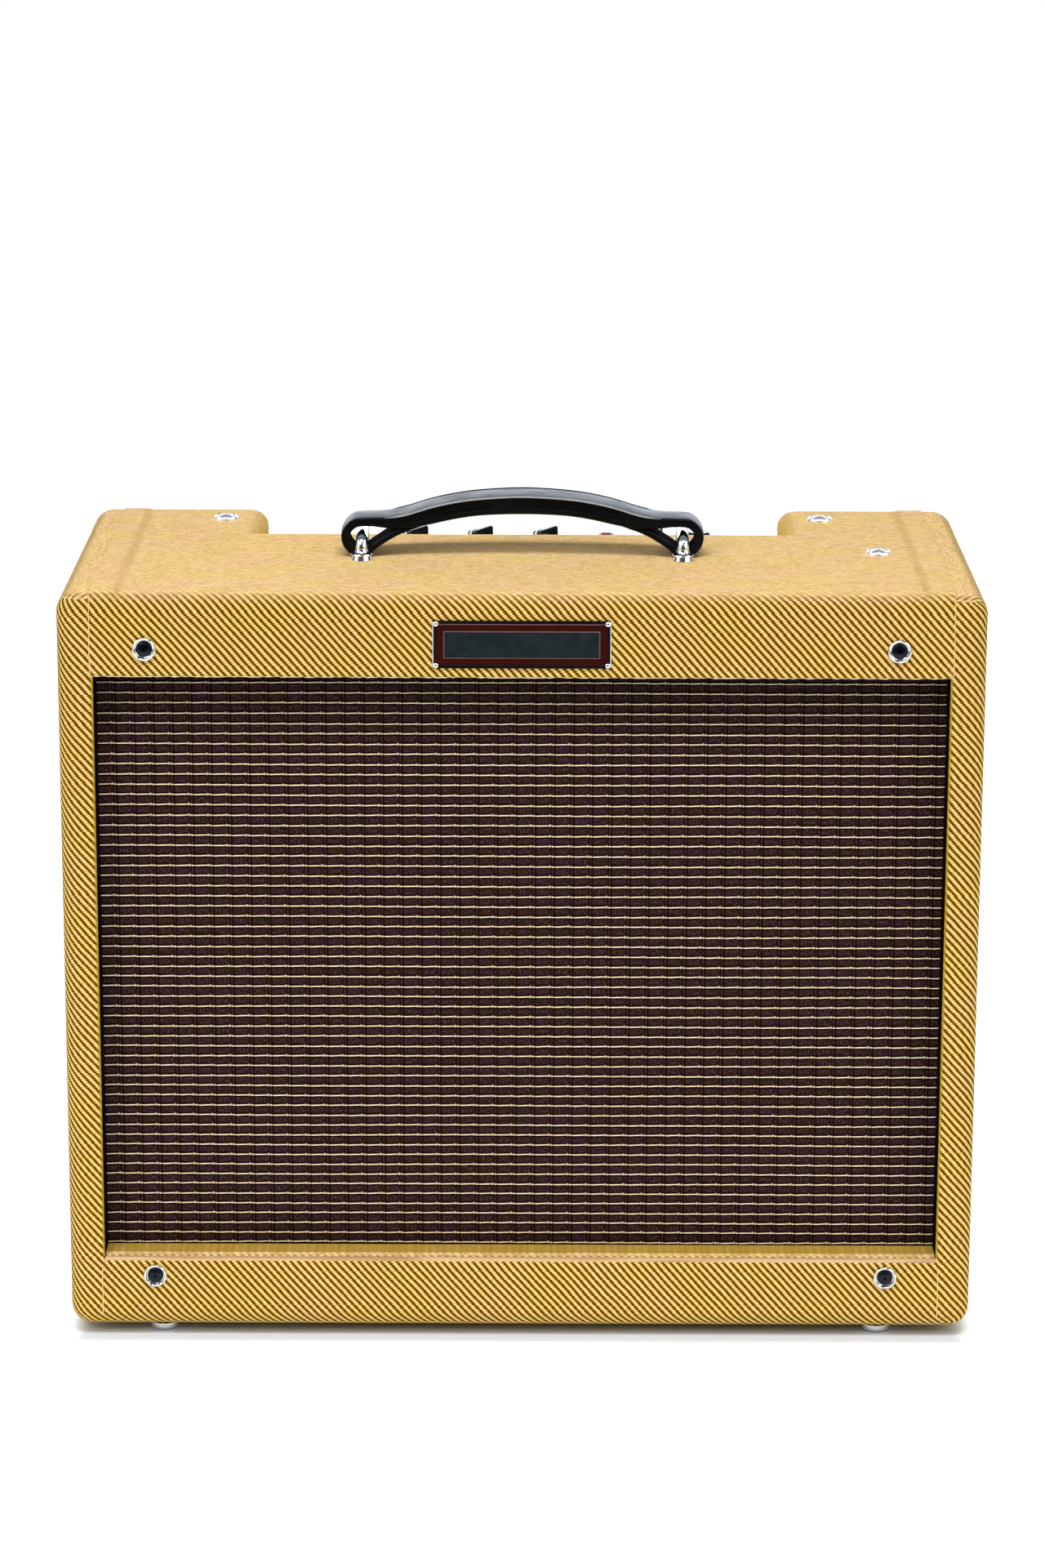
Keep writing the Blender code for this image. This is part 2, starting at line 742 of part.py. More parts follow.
def pointer_knob_bm():
    """Bar of a pointer knob, turned to where it rests. Its crest falls a little to the tip."""
    corner_x = KNOB_TAIL - KNOB_CORNER_R
    corner_y = KNOB_TAIL_HALF - KNOB_CORNER_R
    plan = arc((corner_x, -corner_y), KNOB_CORNER_R, -90, 0, 3)
    plan += arc((corner_x, corner_y), KNOB_CORNER_R, 0, 90, 3)
    plan += [(-KNOB_BEAK, KNOB_TIP_HALF), (-KNOB_BEAK, -KNOB_TIP_HALF)]
    bm = bmesh.new()
    low = [bm.verts.new((x, y, KNOB_BASE)) for x, y in plan]
    high = []
    for x, y in plan:
        crest = KNOB_H - KNOB_SLOPE * (KNOB_TAIL - x)
        high.append(bm.verts.new((x * KNOB_TAPER[0], y * KNOB_TAPER[1], crest)))
    for i in range(len(plan)):
        j = (i + 1) % len(plan)
        bm.faces.new((low[i], low[j], high[j], high[i]))
    bm.faces.new(low)
    bm.faces.new(high)
    bmesh.ops.rotate(bm, matrix=Matrix.Rotation(KNOB_TURN, 3, "Z"), verts=bm.verts[:])
    return bm


POT_PROFILE = [
    (SHAFT_R + SHAFT_CLEARANCE, -0.0130),
    (0.0120, -0.0130),
    (0.0120, -0.0040),
    (BUSHING_R, -0.0040),
    (BUSHING_R, GAP),
    (0.0064, GAP),
    (0.0064, 0.0024),
    (BUSHING_R, 0.0024),
    (BUSHING_R, POT_TOP),
    (SHAFT_R + SHAFT_CLEARANCE, POT_TOP),
]
SKIRT_PROFILE = [
    (0.0, KNOB_LIFT),
    (0.0094, KNOB_LIFT),
    (0.0092, KNOB_LIFT + 0.0035),
    (0.0084, KNOB_LIFT + 0.0046),
    (0.0, KNOB_LIFT + 0.0046),
]
SHAFT_PROFILE = [(SHAFT_R, -0.0145), (SHAFT_R, 0.0040)]


def make_control(number, x):
    """A potentiometer through the panel, and the knob and shaft that turn in it."""
    at = (x, CONTROL_Y, PANEL_Z)
    turned(f"potentiometer_{number}", POT_PROFILE, STEEL, at, "+Z", 14, ring=True)
    knob_at = (x, CONTROL_Y, PANEL_Z + POT_TOP)
    knob = turned(f"knob_{number}", SKIRT_PROFILE, BAKELITE, knob_at, "+Z", 18)
    join(knob, add_object(f"knob_pointer_{number}", pointer_knob_bm(), BAKELITE, knob_at))
    join(knob, turned(f"knob_shaft_{number}", SHAFT_PROFILE, STEEL, knob_at, "+Z", 10))
    cut(chassis, rod_cutter(f"pot_hole_{number}", BUSHING_R + GAP, -0.004, 0.002, at))


for index, x in enumerate(KNOB_X, start=1):
    make_control(index, x)

JACK_BORE_R = 0.0034
for index, x in enumerate(JACK_X, start=1):
    at = (x, CONTROL_Y, PANEL_Z)
    turned(
        f"input_jack_{index}",
        [
            (JACK_BORE_R, -0.0260),
            (0.0085, -0.0260),
            (0.0085, -0.0040),
            (0.0047, -0.0040),
            (0.0047, 0.0003),
            (0.0075, 0.0003),
            (0.0075, 0.0022),
            (0.0056, 0.0030),
            (0.0047, 0.0044),
            (JACK_BORE_R, 0.0044),
        ],
        STEEL, at, "+Z", 14, ring=True,
    )
    cut(chassis, rod_cutter(f"jack_hole_{index}", 0.0047 + GAP, -0.004, 0.002, at))

pilot_at = (PILOT_X, CONTROL_Y, PANEL_Z)
turned(
    "pilot_lamp_holder",
    [
        (0.0062, -0.0220),
        (0.0072, -0.0220),
        (0.0072, 0.0003),
        (0.0095, 0.0003),
        (0.0095, 0.0030),
        (0.0080, 0.0052),
        (0.0071, 0.0052),
        (0.0062, 0.0040),
    ],
    CHROME, pilot_at, "+Z", 14, ring=True,
)
turned(
    "pilot_jewel",
    [
        (0.0, 0.0),
        (0.0058, 0.0),
        (0.0058, 0.0062),
        (0.0066, 0.0066),
        (0.0064, 0.0096),
        (0.0048, 0.0122),
        (0.0024, 0.0132),
        (0.0, 0.0135),
    ],
    JEWEL, pilot_at, "+Z", 12,
)
cut(chassis, rod_cutter("pilot_hole", 0.0072 + GAP, -0.004, 0.002, pilot_at))

SWITCH_TILT = math.radians(12)
SWITCH_PIVOT = 0.0030
switch_at = (SWITCH_X, CONTROL_Y, PANEL_Z)
switch_body = turned(
    "power_switch_body",
    [
        (0.0, -0.0210),
        (0.0090, -0.0210),
        (0.0090, -0.0030),
        (0.0058, -0.0030),
        (0.0058, 0.0003),
        (0.0082, 0.0003),
        (0.0082, 0.0024),
        (0.0058, 0.0024),
        (0.0058, 0.0070),
        (0.0, 0.0070),
    ],
    CHROME, switch_at, "+Z", 12,
)
THROAT_PROFILE = [
    (0.0, -0.0050),
    (0.0034, -0.0050),
    (0.0034, 0.0020),
    (0.0050, 0.0090),
    (0.0, 0.0090),
]
cut(switch_body, turned("switch_throat", THROAT_PROFILE, CHROME, switch_at, "+Z", 12))
lever = turned(
    "power_switch_lever",
    [
        (0.0, -0.0034),
        (0.0019, -0.0026),
        (0.0026, 0.0),
        (0.0019, 0.0026),
        (0.0014, 0.0060),
        (0.0018, 0.0100),
        (0.0026, 0.0165),
        (0.0025, 0.0182),
        (0.0, 0.0192),
    ],
    CHROME, (SWITCH_X, CONTROL_Y, PANEL_Z + SWITCH_PIVOT), "+Z", 10,
)
lever.rotation_euler = (SWITCH_TILT, 0, 0)
cut(chassis, rod_cutter("switch_hole", 0.0058 + GAP, -0.004, 0.002, switch_at))

fuse_at = (FUSE_X, CONTROL_Y, PANEL_Z)
turned(
    "fuse_holder",
    [
        (0.0043, -0.0330),
        (0.0062, -0.0330),
        (0.0062, 0.0003),
        (0.0088, 0.0003),
        (0.0088, 0.0030),
        (0.0043, 0.0030),
    ],
    BAKELITE, fuse_at, "+Z", 14, ring=True,
)
turned(
    "fuse_cap",
    [
        (0.0, -0.0200),
        (0.0039, -0.0200),
        (0.0039, 0.0034),
        (0.0072, 0.0034),
        (0.0068, 0.0130),
        (0.0060, 0.0138),
        (0.0, 0.0138),
    ],
    BAKELITE, fuse_at, "+Z", 14,
)
cut(chassis, rod_cutter("fuse_hole", 0.0062 + GAP, -0.004, 0.002, fuse_at))

# ---- Valves, transformers, circuit board and mains inlet under the chassis -----------
SOCKET_H = 0.0080
OCTAL = [
    (0.0, 0.0005),
    (0.0045, 0.0005),
    (0.0045, SOCKET_H),
    (0.0160, SOCKET_H),
    (0.0160, 0.0280),
    (0.0150, 0.0290),
    (0.0165, 0.0340),
    (0.0165, 0.0700),
    (0.0130, 0.0800),
    (0.0, 0.0830),
]
RECTIFIER = [(r * 1.08, z * 1.1) if z > SOCKET_H else (r, z) for r, z in OCTAL]
NOVAL = [
    (0.0, 0.0005),
    (0.0030, 0.0005),
    (0.0030, SOCKET_H),
    (0.0105, SOCKET_H),
    (0.0108, 0.0120),
    (0.0108, 0.0480),
    (0.0090, 0.0520),
    (0.0025, 0.0545),
    (0.0, 0.0580),
]
VALVES = (                # name, outline, place across, socket radius
    ("preamp_valve_1", NOVAL, -0.120, 0.0120),
    ("preamp_valve_2", NOVAL, -0.072, 0.0120),
    ("power_valve_1", OCTAL, -0.015, 0.0175),
    ("power_valve_2", OCTAL, 0.036, 0.0175),
    ("rectifier_valve", RECTIFIER, 0.091, 0.0180),
)
VALVE_DEPTH = 0.200
for name, profile, x, socket_r in VALVES:
    at = (x, depth(VALVE_DEPTH), CHASSIS_LOW)
    turned(name, profile, GLASS, at, "-Z", 12)
    bore = profile[2][0] + GAP
    socket = [(bore, -0.0010), (socket_r, -0.0010), (socket_r, 0.0060), (bore, 0.0060)]
    join(chassis, turned(f"{name}_socket", socket, BAKELITE, at, "-Z", 12, ring=True))
    cut(chassis, rod_cutter(f"{name}_hole", bore, -0.003, 0.0070, at, "-Z", 12))


def make_transformer(name, low, high, stack_low, stack_high):
    """Laminated core with a wound coil standing proud of it."""
    core_block = box(name, low, high, LAMINATION)
    coil = box(f"{name}_coil", stack_low, stack_high, LAMINATION, 0.004)
    return join(core_block, coil)


PT_LOW = height(0.341)
power_transformer = make_transformer(
    "power_transformer",
    (0.150, depth(0.092), PT_LOW),
    (0.222, depth(0.148), INNER_HIGH - 2 * GAP),
    (0.163, depth(0.080), PT_LOW + 0.008),
    (0.209, depth(0.150), INNER_HIGH - 0.010),
)
cut(power_transformer, bpy.data.objects["top_screw_hole_3"])
OT_TOP = CHASSIS_LOW - GAP
make_transformer(
    "output_transformer",
    (-0.176, depth(0.160), OT_TOP - 0.040),
    (-0.142, depth(0.222), OT_TOP),
    (-0.1835, depth(0.172), OT_TOP - 0.034),
    (-0.1345, depth(0.210), OT_TOP - 0.006),
)

BOARD_BACK = CHASSIS_FRONT + STEEL_T + 0.004
circuit_board = box(
    "circuit_board",
    (-0.100, depth(BOARD_BACK), CHASSIS_LOW + 0.008),
    (0.110, depth(BOARD_BACK + 0.002), PANEL_UNDER - 0.008),
    FIBRE,
)
CAPACITORS = (            # place across, radius, length
    (-0.080, 0.0045, 0.030),
    (-0.052, 0.0035, 0.026),
    (-0.024, 0.0045, 0.030),
    (0.006, 0.0035, 0.026),
    (0.040, 0.0080, 0.040),
    (0.082, 0.0080, 0.040),
)
for number, (x, radius, length) in enumerate(CAPACITORS):
    middle = (x, depth(BOARD_BACK + 0.0015 + radius), (CHASSIS_LOW + PANEL_UNDER) / 2)
    can = [(radius, -length / 2), (radius, length / 2)]
    join(circuit_board, turned(f"capacitor_{number}", can, FIBRE, middle, "+Z", 12))

INLET_X = 0.150
mains_inlet = box(
    "mains_inlet",
    (INLET_X - 0.0135, depth(0.188), CHASSIS_LOW - 0.0035),
    (INLET_X + 0.0135, depth(0.208), CHASSIS_LOW + 0.0200),
    BAKELITE,
)
flange = box(
    "inlet_flange",
    (INLET_X - 0.0240, depth(0.186), CHASSIS_LOW - 0.0035),
    (INLET_X + 0.0240, depth(0.210), CHASSIS_LOW - GAP),
    BAKELITE,
)
join(mains_inlet, flange)
cut(
    mains_inlet,
    box(
        "inlet_socket",
        (INLET_X - 0.0120, depth(0.190), CHASSIS_LOW - 0.0100),
        (INLET_X + 0.0120, depth(0.206), CHASSIS_LOW + 0.0160),
        BAKELITE,
    ),
)
for number, shift in enumerate((-0.007, 0.0, 0.007)):
    blade = box(
        f"inlet_blade_{number}",
        (INLET_X + shift - 0.0010, depth(0.196), CHASSIS_LOW + 0.0040),
        (INLET_X + shift + 0.0010, depth(0.200), CHASSIS_LOW + 0.0180),
        STEEL,
    )
    join(mains_inlet, blade)
cut(
    chassis,
    box(
        "inlet_hole",
        (INLET_X - 0.0138, depth(0.1877), CHASSIS_LOW - 0.004),
        (INLET_X + 0.0138, depth(0.2083), CHASSIS_LOW + 0.004),
        CHROME,
    ),
)

# ---- Loudspeaker, built along +Y from the baffle's rear face ----------------------------
SPEAKER_Y = depth(BAFFLE_FRONT + BAFFLE_T + GAP)
speaker_at = (0.0, SPEAKER_Y, SPEAKER_AXIS[1])
FRAME_STEPS = 28
BASKET_DEPTH = 0.070
frame = turned(
    "speaker_frame",
    [
        (SPEAKER_R, 0.0),
        (SPEAKER_R, 0.0020),
        (0.1440, 0.0022),
        (0.1415, 0.0120),
        (0.1385, 0.0160),
        (0.0810, BASKET_DEPTH),
        (0.0790, BASKET_DEPTH + 0.0016),
        (0.0560, BASKET_DEPTH + 0.0016),
        (0.0560, BASKET_DEPTH),
        (0.0780, BASKET_DEPTH - 0.0010),
        (0.1360, 0.0150),
        (0.1390, 0.0115),
        (0.1408, 0.0016),
        (0.1408, 0.0),
    ],
    STEEL, speaker_at, "+Y", FRAME_STEPS, ring=True,
)
for number in range(4):
    window = box_bm((-0.024, 0.022, -0.2), (0.024, 0.062, 0.2))
    turn = Matrix.Rotation(math.radians(45 * number + 22.5), 4, "Y")
    bmesh.ops.transform(window, matrix=turn, verts=window.verts)
    cut(frame, add_object(f"frame_window_{number}", window, STEEL, speaker_at))

MOTOR_Z = BASKET_DEPTH + 0.0016 + GAP
turned(
    "speaker_motor",
    [
        (0.0, MOTOR_Z - 0.0006),
        (0.0200, MOTOR_Z - 0.0006),
        (0.0200, MOTOR_Z + 0.0270),
        (0.0236, MOTOR_Z + 0.0270),
        (0.0236, MOTOR_Z),
        (0.0640, MOTOR_Z),
        (0.0640, MOTOR_Z + 0.0080),
        (MAGNET_R, MOTOR_Z + 0.0082),
        (MAGNET_R, MOTOR_Z + 0.0270),
        (0.0660, MOTOR_Z + 0.0275),
        (0.0640, MOTOR_Z + 0.0360),
        (0.0, MOTOR_Z + 0.0360),
    ],
    FERRITE, speaker_at, "+Y", 24,
)
CONE_WALL = 0.0010
turned(
    "speaker_cone",
    [
        (CONE_R, 0.0075),
        (CONE_R, 0.0075 + CONE_WALL),
        (0.0900, 0.0290),
        (0.0228, 0.0560),
        (0.0228, MOTOR_Z + 0.0160),
        (0.0219, MOTOR_Z + 0.0160),
        (0.0219, 0.0560),
        (0.0, 0.0485),
        (0.0, 0.0475),
        (0.0150, 0.0490),
        (0.0300, 0.0515),
        (0.0900, 0.0275),
    ],
    PAPER, speaker_at, "+Y", FRAME_STEPS, ring=True,
)
turned(
    "speaker_surround",
    [
        (CONE_R + GAP, 0.0075),
        (0.1295, 0.0050),
        (0.1330, 0.0075),
        (0.1362, 0.0050),
        (0.1392, 0.0075),
        (0.1392, 0.0085),
        (0.1362, 0.0060),
        (0.1330, 0.0085),
        (0.1295, 0.0060),
        (CONE_R + GAP, 0.0085),
    ],
    PAPER, speaker_at, "+Y", FRAME_STEPS, ring=True,
)

# ---- Speaker lead from the chassis to the loudspeaker's frame ----------------------------
LEAD_R = 0.0027
LEAD_ROUTE = (
    (-0.096, 0.180, 0.3340),
    (-0.096, 0.180, 0.3240),
    (-0.097, 0.179, 0.3080),
    (-0.101, 0.176, 0.2900),
    (-0.106, 0.172, 0.2700),
    (-0.110, 0.166, 0.2520),
    (-0.111, 0.157, 0.2370),
    (-0.109, 0.146, 0.2250),
    (-0.105, 0.135, 0.2180),
    (-0.100, 0.126, 0.2140),
    (-0.095, 0.119, 0.2120),
)


def make_lead():
    """The lead as a smooth tube: points read off a curve through the route's own points."""
    route = [Vector((x, depth(y), height(z))) for x, y, z in LEAD_ROUTE]
    points = []
    for i in range(len(route) - 1):
        before = route[max(i - 1, 0)]
        after = route[min(i + 2, len(route) - 1)]
        start, end = route[i], route[i + 1]
        for k in range(2):
            t = k / 2
            points.append(
                0.5 * ((2 * start) + (end - before) * t + (2 * before - 5 * start + 4 * end - after) * t * t
                       + (3 * start - before - 3 * end + after) * t ** 3)
            )
    points.append(route[-1])
    curve = bpy.data.curves.new("speaker_lead", "CURVE")
    curve.dimensions = "3D"
    curve.bevel_depth = LEAD_R
    curve.bevel_resolution = 2
    curve.use_fill_caps = True
    spline = curve.splines.new("POLY")
    spline.points.add(len(points) - 1)
    for slot, point in zip(spline.points, points):
        slot.co = (*point, 1.0)
    curve.materials.append(BAKELITE)
    lead = bpy.data.objects.new("speaker_lead", curve)
    bpy.context.scene.collection.objects.link(lead)


make_lead()
terminal = box(
    "terminal_strip",
    (-0.0922, depth(0.1020), height(0.2010)),
    (-0.0778, depth(0.1260), height(0.2190)),
    FIBRE,
)
join(frame, terminal)
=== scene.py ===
"""Looks of a cloth-covered valve combo amplifier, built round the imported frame.

Places come from the frame's own boxes. Lengths are in metres, +Z up, the front faces -Y.
"""

import random
from math import asin, atan2, copysign, cos, pi, radians, sin, sqrt

import bmesh
import bpy
from mathutils import Matrix, Vector


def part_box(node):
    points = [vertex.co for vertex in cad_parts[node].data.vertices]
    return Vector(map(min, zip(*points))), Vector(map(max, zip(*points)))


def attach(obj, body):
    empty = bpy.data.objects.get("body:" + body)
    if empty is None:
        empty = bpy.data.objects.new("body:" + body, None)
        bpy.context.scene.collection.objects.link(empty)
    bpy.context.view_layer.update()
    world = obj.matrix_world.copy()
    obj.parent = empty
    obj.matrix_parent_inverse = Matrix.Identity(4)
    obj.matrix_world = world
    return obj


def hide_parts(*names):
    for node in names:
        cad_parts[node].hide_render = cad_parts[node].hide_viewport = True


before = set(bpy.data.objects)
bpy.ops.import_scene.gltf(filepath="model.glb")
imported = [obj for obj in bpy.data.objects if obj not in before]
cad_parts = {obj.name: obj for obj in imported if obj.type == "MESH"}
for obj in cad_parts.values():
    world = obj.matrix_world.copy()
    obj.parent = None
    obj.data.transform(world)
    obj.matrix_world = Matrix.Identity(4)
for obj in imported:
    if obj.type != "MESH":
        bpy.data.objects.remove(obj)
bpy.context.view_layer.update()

# ---- Places read from the frame ----
CAB_LOW, CAB_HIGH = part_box("tweed_covering")
HALF_W = (CAB_HIGH.x - CAB_LOW.x) / 2
FRONT = CAB_LOW.y
REAR = CAB_HIGH.y
BOTTOM = CAB_LOW.z
TOP = CAB_HIGH.z
DEPTH = REAR - FRONT
HALF_H = (TOP - BOTTOM) / 2
MIDDLE_Z = (TOP + BOTTOM) / 2

# ---- Measures of the covering ----
EDGE_R = 0.012  # rounding of the cabinet's outer edges
EDGE_STEPS = 8
BOARD = 0.019
SEAM_X = 0.2353  # where the front and top cloth meets the sides' cloth
RIDGE_IN = 0.219  # the sides' cloth ends under the top cloth between these
RIDGE_OUT = 0.2228
CLOTH_T = 0.0008
CLOTH_STEP = 0.0007  # one cloth lying on the other
LIP_R = 0.0016  # soft edges of the speaker opening
RAIL_R = 0.007  # the lower rail's rounder upper edge
OPENING_HALF_W = SEAM_X - LIP_R
OPENING_LOW = BOTTOM + 0.0435
OPENING_HIGH = BOTTOM + 0.378
GRILLE_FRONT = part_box("grille_cloth")[0].y
WELL_DEPTH = GRILLE_FRONT - FRONT
CUT_HALF_W = 0.1515  # control recess
CUT_FRONT = FRONT + 0.178
CUT_FLOOR = TOP - BOARD + 0.0002
MITRE = 4  # arc step at which the corner's cloths meet

UP, BACKWARD = 2, 1  # numbers of the axes Z and Y

rng = random.Random(11)


# ---- Small mesh and node helpers ----
def node_sum(operation):
    """A method that adds one Math node behind a wire."""
    return lambda wire, *others: wire.graph.math(operation, wire, *others)


class Wire:
    """One output of a node, which can be used in sums."""

    def __init__(self, graph, socket):
        self.graph = graph
        self.socket = socket

    __add__ = node_sum("ADD")
    __sub__ = node_sum("SUBTRACT")
    __mul__ = node_sum("MULTIPLY")
    __truediv__ = node_sum("DIVIDE")
    __pow__ = node_sum("POWER")
    __lt__ = node_sum("LESS_THAN")
    __abs__ = node_sum("ABSOLUTE")
    fract = node_sum("FRACT")
    floor = node_sum("FLOOR")
    root = node_sum("SQRT")
    most = node_sum("MAXIMUM")

    def __rsub__(self, other):
        return self.graph.math("SUBTRACT", other, self)


class Graph:
    """Builds one node tree with short calls."""

    def __init__(self, owner, shader):
        owner.use_nodes = True
        self.owner = owner
        self.tree = owner.node_tree
        self.shader = self.tree.nodes[shader]

    def feed(self, socket, value):
        """Links a wire to a socket, or sets a constant on it."""
        if isinstance(value, Wire):
            self.tree.links.new(value.socket, socket)
        else:
            socket.default_value = value

    def set(self, socket, value):
        self.feed(self.shader.inputs[socket], value)

    def node(self, kind, values=(), output=0, **settings):
        """Adds a node. `values` holds (input, value) pairs; the chosen output comes back."""
        made = self.tree.nodes.new(kind)
        for key, value in settings.items():
            setattr(made, key, value)
        for key, value in values:
            self.feed(made.inputs[key], value)
        return Wire(self, made.outputs[output])

    def math(self, operation, *values):
        return self.node("ShaderNodeMath", enumerate(values), operation=operation)

    def ramp(self, value, low, high, to_low=0.0, to_high=1.0):
        """Smooth step of value from low..high to to_low..to_high."""
        values = enumerate((value, low, high, to_low, to_high))
        return self.node("ShaderNodeMapRange", values, interpolation_type="SMOOTHSTEP")

    def mix(self, factor, a, b):
        """Mixes two colours; its colour sockets are the ones numbered 6, 7 and 2."""
        a, b = ((*one, 1.0) if isinstance(one, tuple) else one for one in (a, b))
        return self.node("ShaderNodeMix", ((0, factor), (6, a), (7, b)), 2, data_type="RGBA")

    def combine(self, x, y, z=0.0):
        return self.node("ShaderNodeCombineXYZ", enumerate((x, y, z)))

    def split(self, vector):
        made = self.node("ShaderNodeSeparateXYZ", ((0, vector),)).socket.node
        return [Wire(self, output) for output in made.outputs]

    def noise(self, vector, scale, detail=2.0, roughness=0.5):
        values = (("Vector", vector), ("Scale", scale), ("Detail", detail), ("Roughness", roughness))
        return self.node("ShaderNodeTexNoise", values, "Fac")

    def white(self, vector):
        return self.node("ShaderNodeTexWhiteNoise", ((0, vector),), noise_dimensions="3D")

    def place(self):
        return self.node("ShaderNodeTexCoord", output="Object")

    def facing(self, axis):
        """How much the surface faces along +X, +Y or +Z, from -1 to 1."""
        return self.split(self.node("ShaderNodeNewGeometry", output="Normal"))[axis]

    def bump(self, height, distance, strength=1.0):
        values = (("Strength", strength), ("Distance", distance), ("Height", height))
        self.set("Normal", self.node("ShaderNodeBump", values))


def surface(name, colour, roughness, metallic=0.0, specular=0.5):
    g = Graph(bpy.data.materials.new(name), "Principled BSDF")
    g.set("Base Color", (*colour, 1.0))
    g.set("Roughness", roughness)
    g.set("Metallic", metallic)
    g.set("Specular IOR Level", specular)
    return g


def mesh_object(name, bm, material, smooth=None):
    bmesh.ops.recalc_face_normals(bm, faces=bm.faces[:])
    mesh = bpy.data.meshes.new(name)
    bm.to_mesh(mesh)
    bm.free()
    for one in material if isinstance(material, (list, tuple)) else [material]:
        mesh.materials.append(one)
    if smooth is not None:
        mesh.shade_smooth()
        mesh.set_sharp_from_angle(angle=radians(smooth))
    obj = bpy.data.objects.new(name, mesh)
    bpy.context.scene.collection.objects.link(obj)
    return obj


def keep(obj, slot=None, body="root", replaces=None):
    """Puts a finished piece on its body."""
    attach(obj, body)
    if replaces:
        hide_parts(replaces)
    return obj


def piece(name, bm, material, smooth, *kept, **named):
    return keep(mesh_object(name, bm, material, smooth), *kept, **named)


def apply_modifiers(obj):
    graph = bpy.context.evaluated_depsgraph_get()
    mesh = bpy.data.meshes.new_from_object(obj.evaluated_get(graph))
    old = obj.data
    obj.modifiers.clear()
    obj.data = mesh
    bpy.data.meshes.remove(old)


def merge_into(bm, part, matrix):
    """Adds a moved copy of part to bm and frees part."""
    mesh = bpy.data.meshes.new("part")
    part.to_mesh(mesh)
    part.free()
    mesh.transform(matrix)
    bm.from_mesh(mesh)
    bpy.data.meshes.remove(mesh)


def join_rings(bm, rings, inner=None):
    """Quads between successive closed rings, and faces over the two ends.

    The quads that start at corner `inner` get the second material.
    """
    for low, high in zip(rings, rings[1:]):
        for i in range(len(low)):
            j = (i + 1) % len(low)
            bm.faces.new((low[i], low[j], high[j], high[i])).material_index = int(i == inner)
    bm.faces.new(rings[0])
    bm.faces.new(rings[-1])


def arc(centre, radius, start, end, steps):
    """Points on an arc; angles in degrees."""
    points = []
    for i in range(steps + 1):
        a = radians(start + (end - start) * i / steps)
        points.append((centre[0] + radius * cos(a), centre[1] + radius * sin(a)))
    return points


def mm(*numbers):
    """Pairs of lengths in metres, from a row of numbers in millimetres."""
    return [(a / 1000, b / 1000) for a, b in zip(numbers[::2], numbers[1::2])]


def revolve(bm, profile, segments, matrix=None):
    """Turns (radius, height) points round Z into bm; ends on the axis are closed with fans."""
    rows = []
    for radius, z in profile:
        if radius < 1e-7:
            rows.append([bm.verts.new((0, 0, z))])
            continue
        turn = [2 * pi * i / segments for i in range(segments)]
        rows.append([bm.verts.new((radius * cos(a), radius * sin(a), z)) for a in turn])
    for low, high in zip(rows, rows[1:]):
        for i in range(segments):
            j = (i + 1) % segments
            if len(low) == 1:
                bm.faces.new((low[0], high[i], high[j]))
            elif len(high) == 1:
                bm.faces.new((low[i], low[j], high[0]))
            else:
                bm.faces.new((low[i], low[j], high[j], high[i]))
    if matrix is not None:
        bmesh.ops.transform(bm, matrix=matrix, verts=[v for row in rows for v in row])


AIM = {
    "+Z": Matrix.Identity(4),
    "-Z": Matrix.Rotation(pi, 4, "X"),
    "-Y": Matrix.Rotation(pi / 2, 4, "X"),
    "+Y": Matrix.Rotation(-pi / 2, 4, "X"),
}


def turned(name, profile, material, at=(0, 0, 0), towards="+Z", segments=48, smooth=38):
    bm = bmesh.new()
    revolve(bm, profile, segments, Matrix.Translation(at) @ AIM[towards])
    return mesh_object(name, bm, material, smooth)


def box_into(bm, low, high, bevel=0.0, segments=2):
    made = bmesh.ops.create_cube(bm, size=1.0)["verts"]
    for v in made:
        v.co = Vector([l + (c + 0.5) * (h - l) for c, l, h in zip(v.co, low, high)])
    if bevel:
        edges = list(dict.fromkeys(e for v in made for e in v.link_edges))
        bmesh.ops.bevel(bm, geom=edges, offset=bevel, segments=segments, profile=0.5, affect="EDGES")


def tube_into(bm, points, radii, sides, across=Vector((1, 0, 0))):
    """A round rod along points. `across` is a direction that the path never runs along."""
    rings = []
    for i, point in enumerate(points):
        along = (points[min(i + 1, len(points) - 1)] - points[max(i - 1, 0)]).normalized()
        side = (across - along * across.dot(along)).normalized()
        other = along.cross(side)
        ring = []
        for k in range(sides):
            a = 2 * pi * k / sides
            ring.append(bm.verts.new(point + radii[i] * (cos(a) * side + sin(a) * other)))
        rings.append(ring)
    join_rings(bm, rings)


# ---- Materials ----
RIBS_ACROSS = 234.0  # twill ribs per metre along the cloth's width
RIBS_UP = 208.0  # and along its height
WEFT = 0.00119  # height of one thread row
THREAD_LEAN = -0.3  # how far a thread rises across its rib, in rows
GOLD = (0.7, 0.45, 0.062)
PEACH = (0.74, 0.44, 0.12)
STRAW = (0.92, 0.69, 0.27)
SHADED = (0.42, 0.22, 0.006)
BROWN = (0.1, 0.031, 0.0)


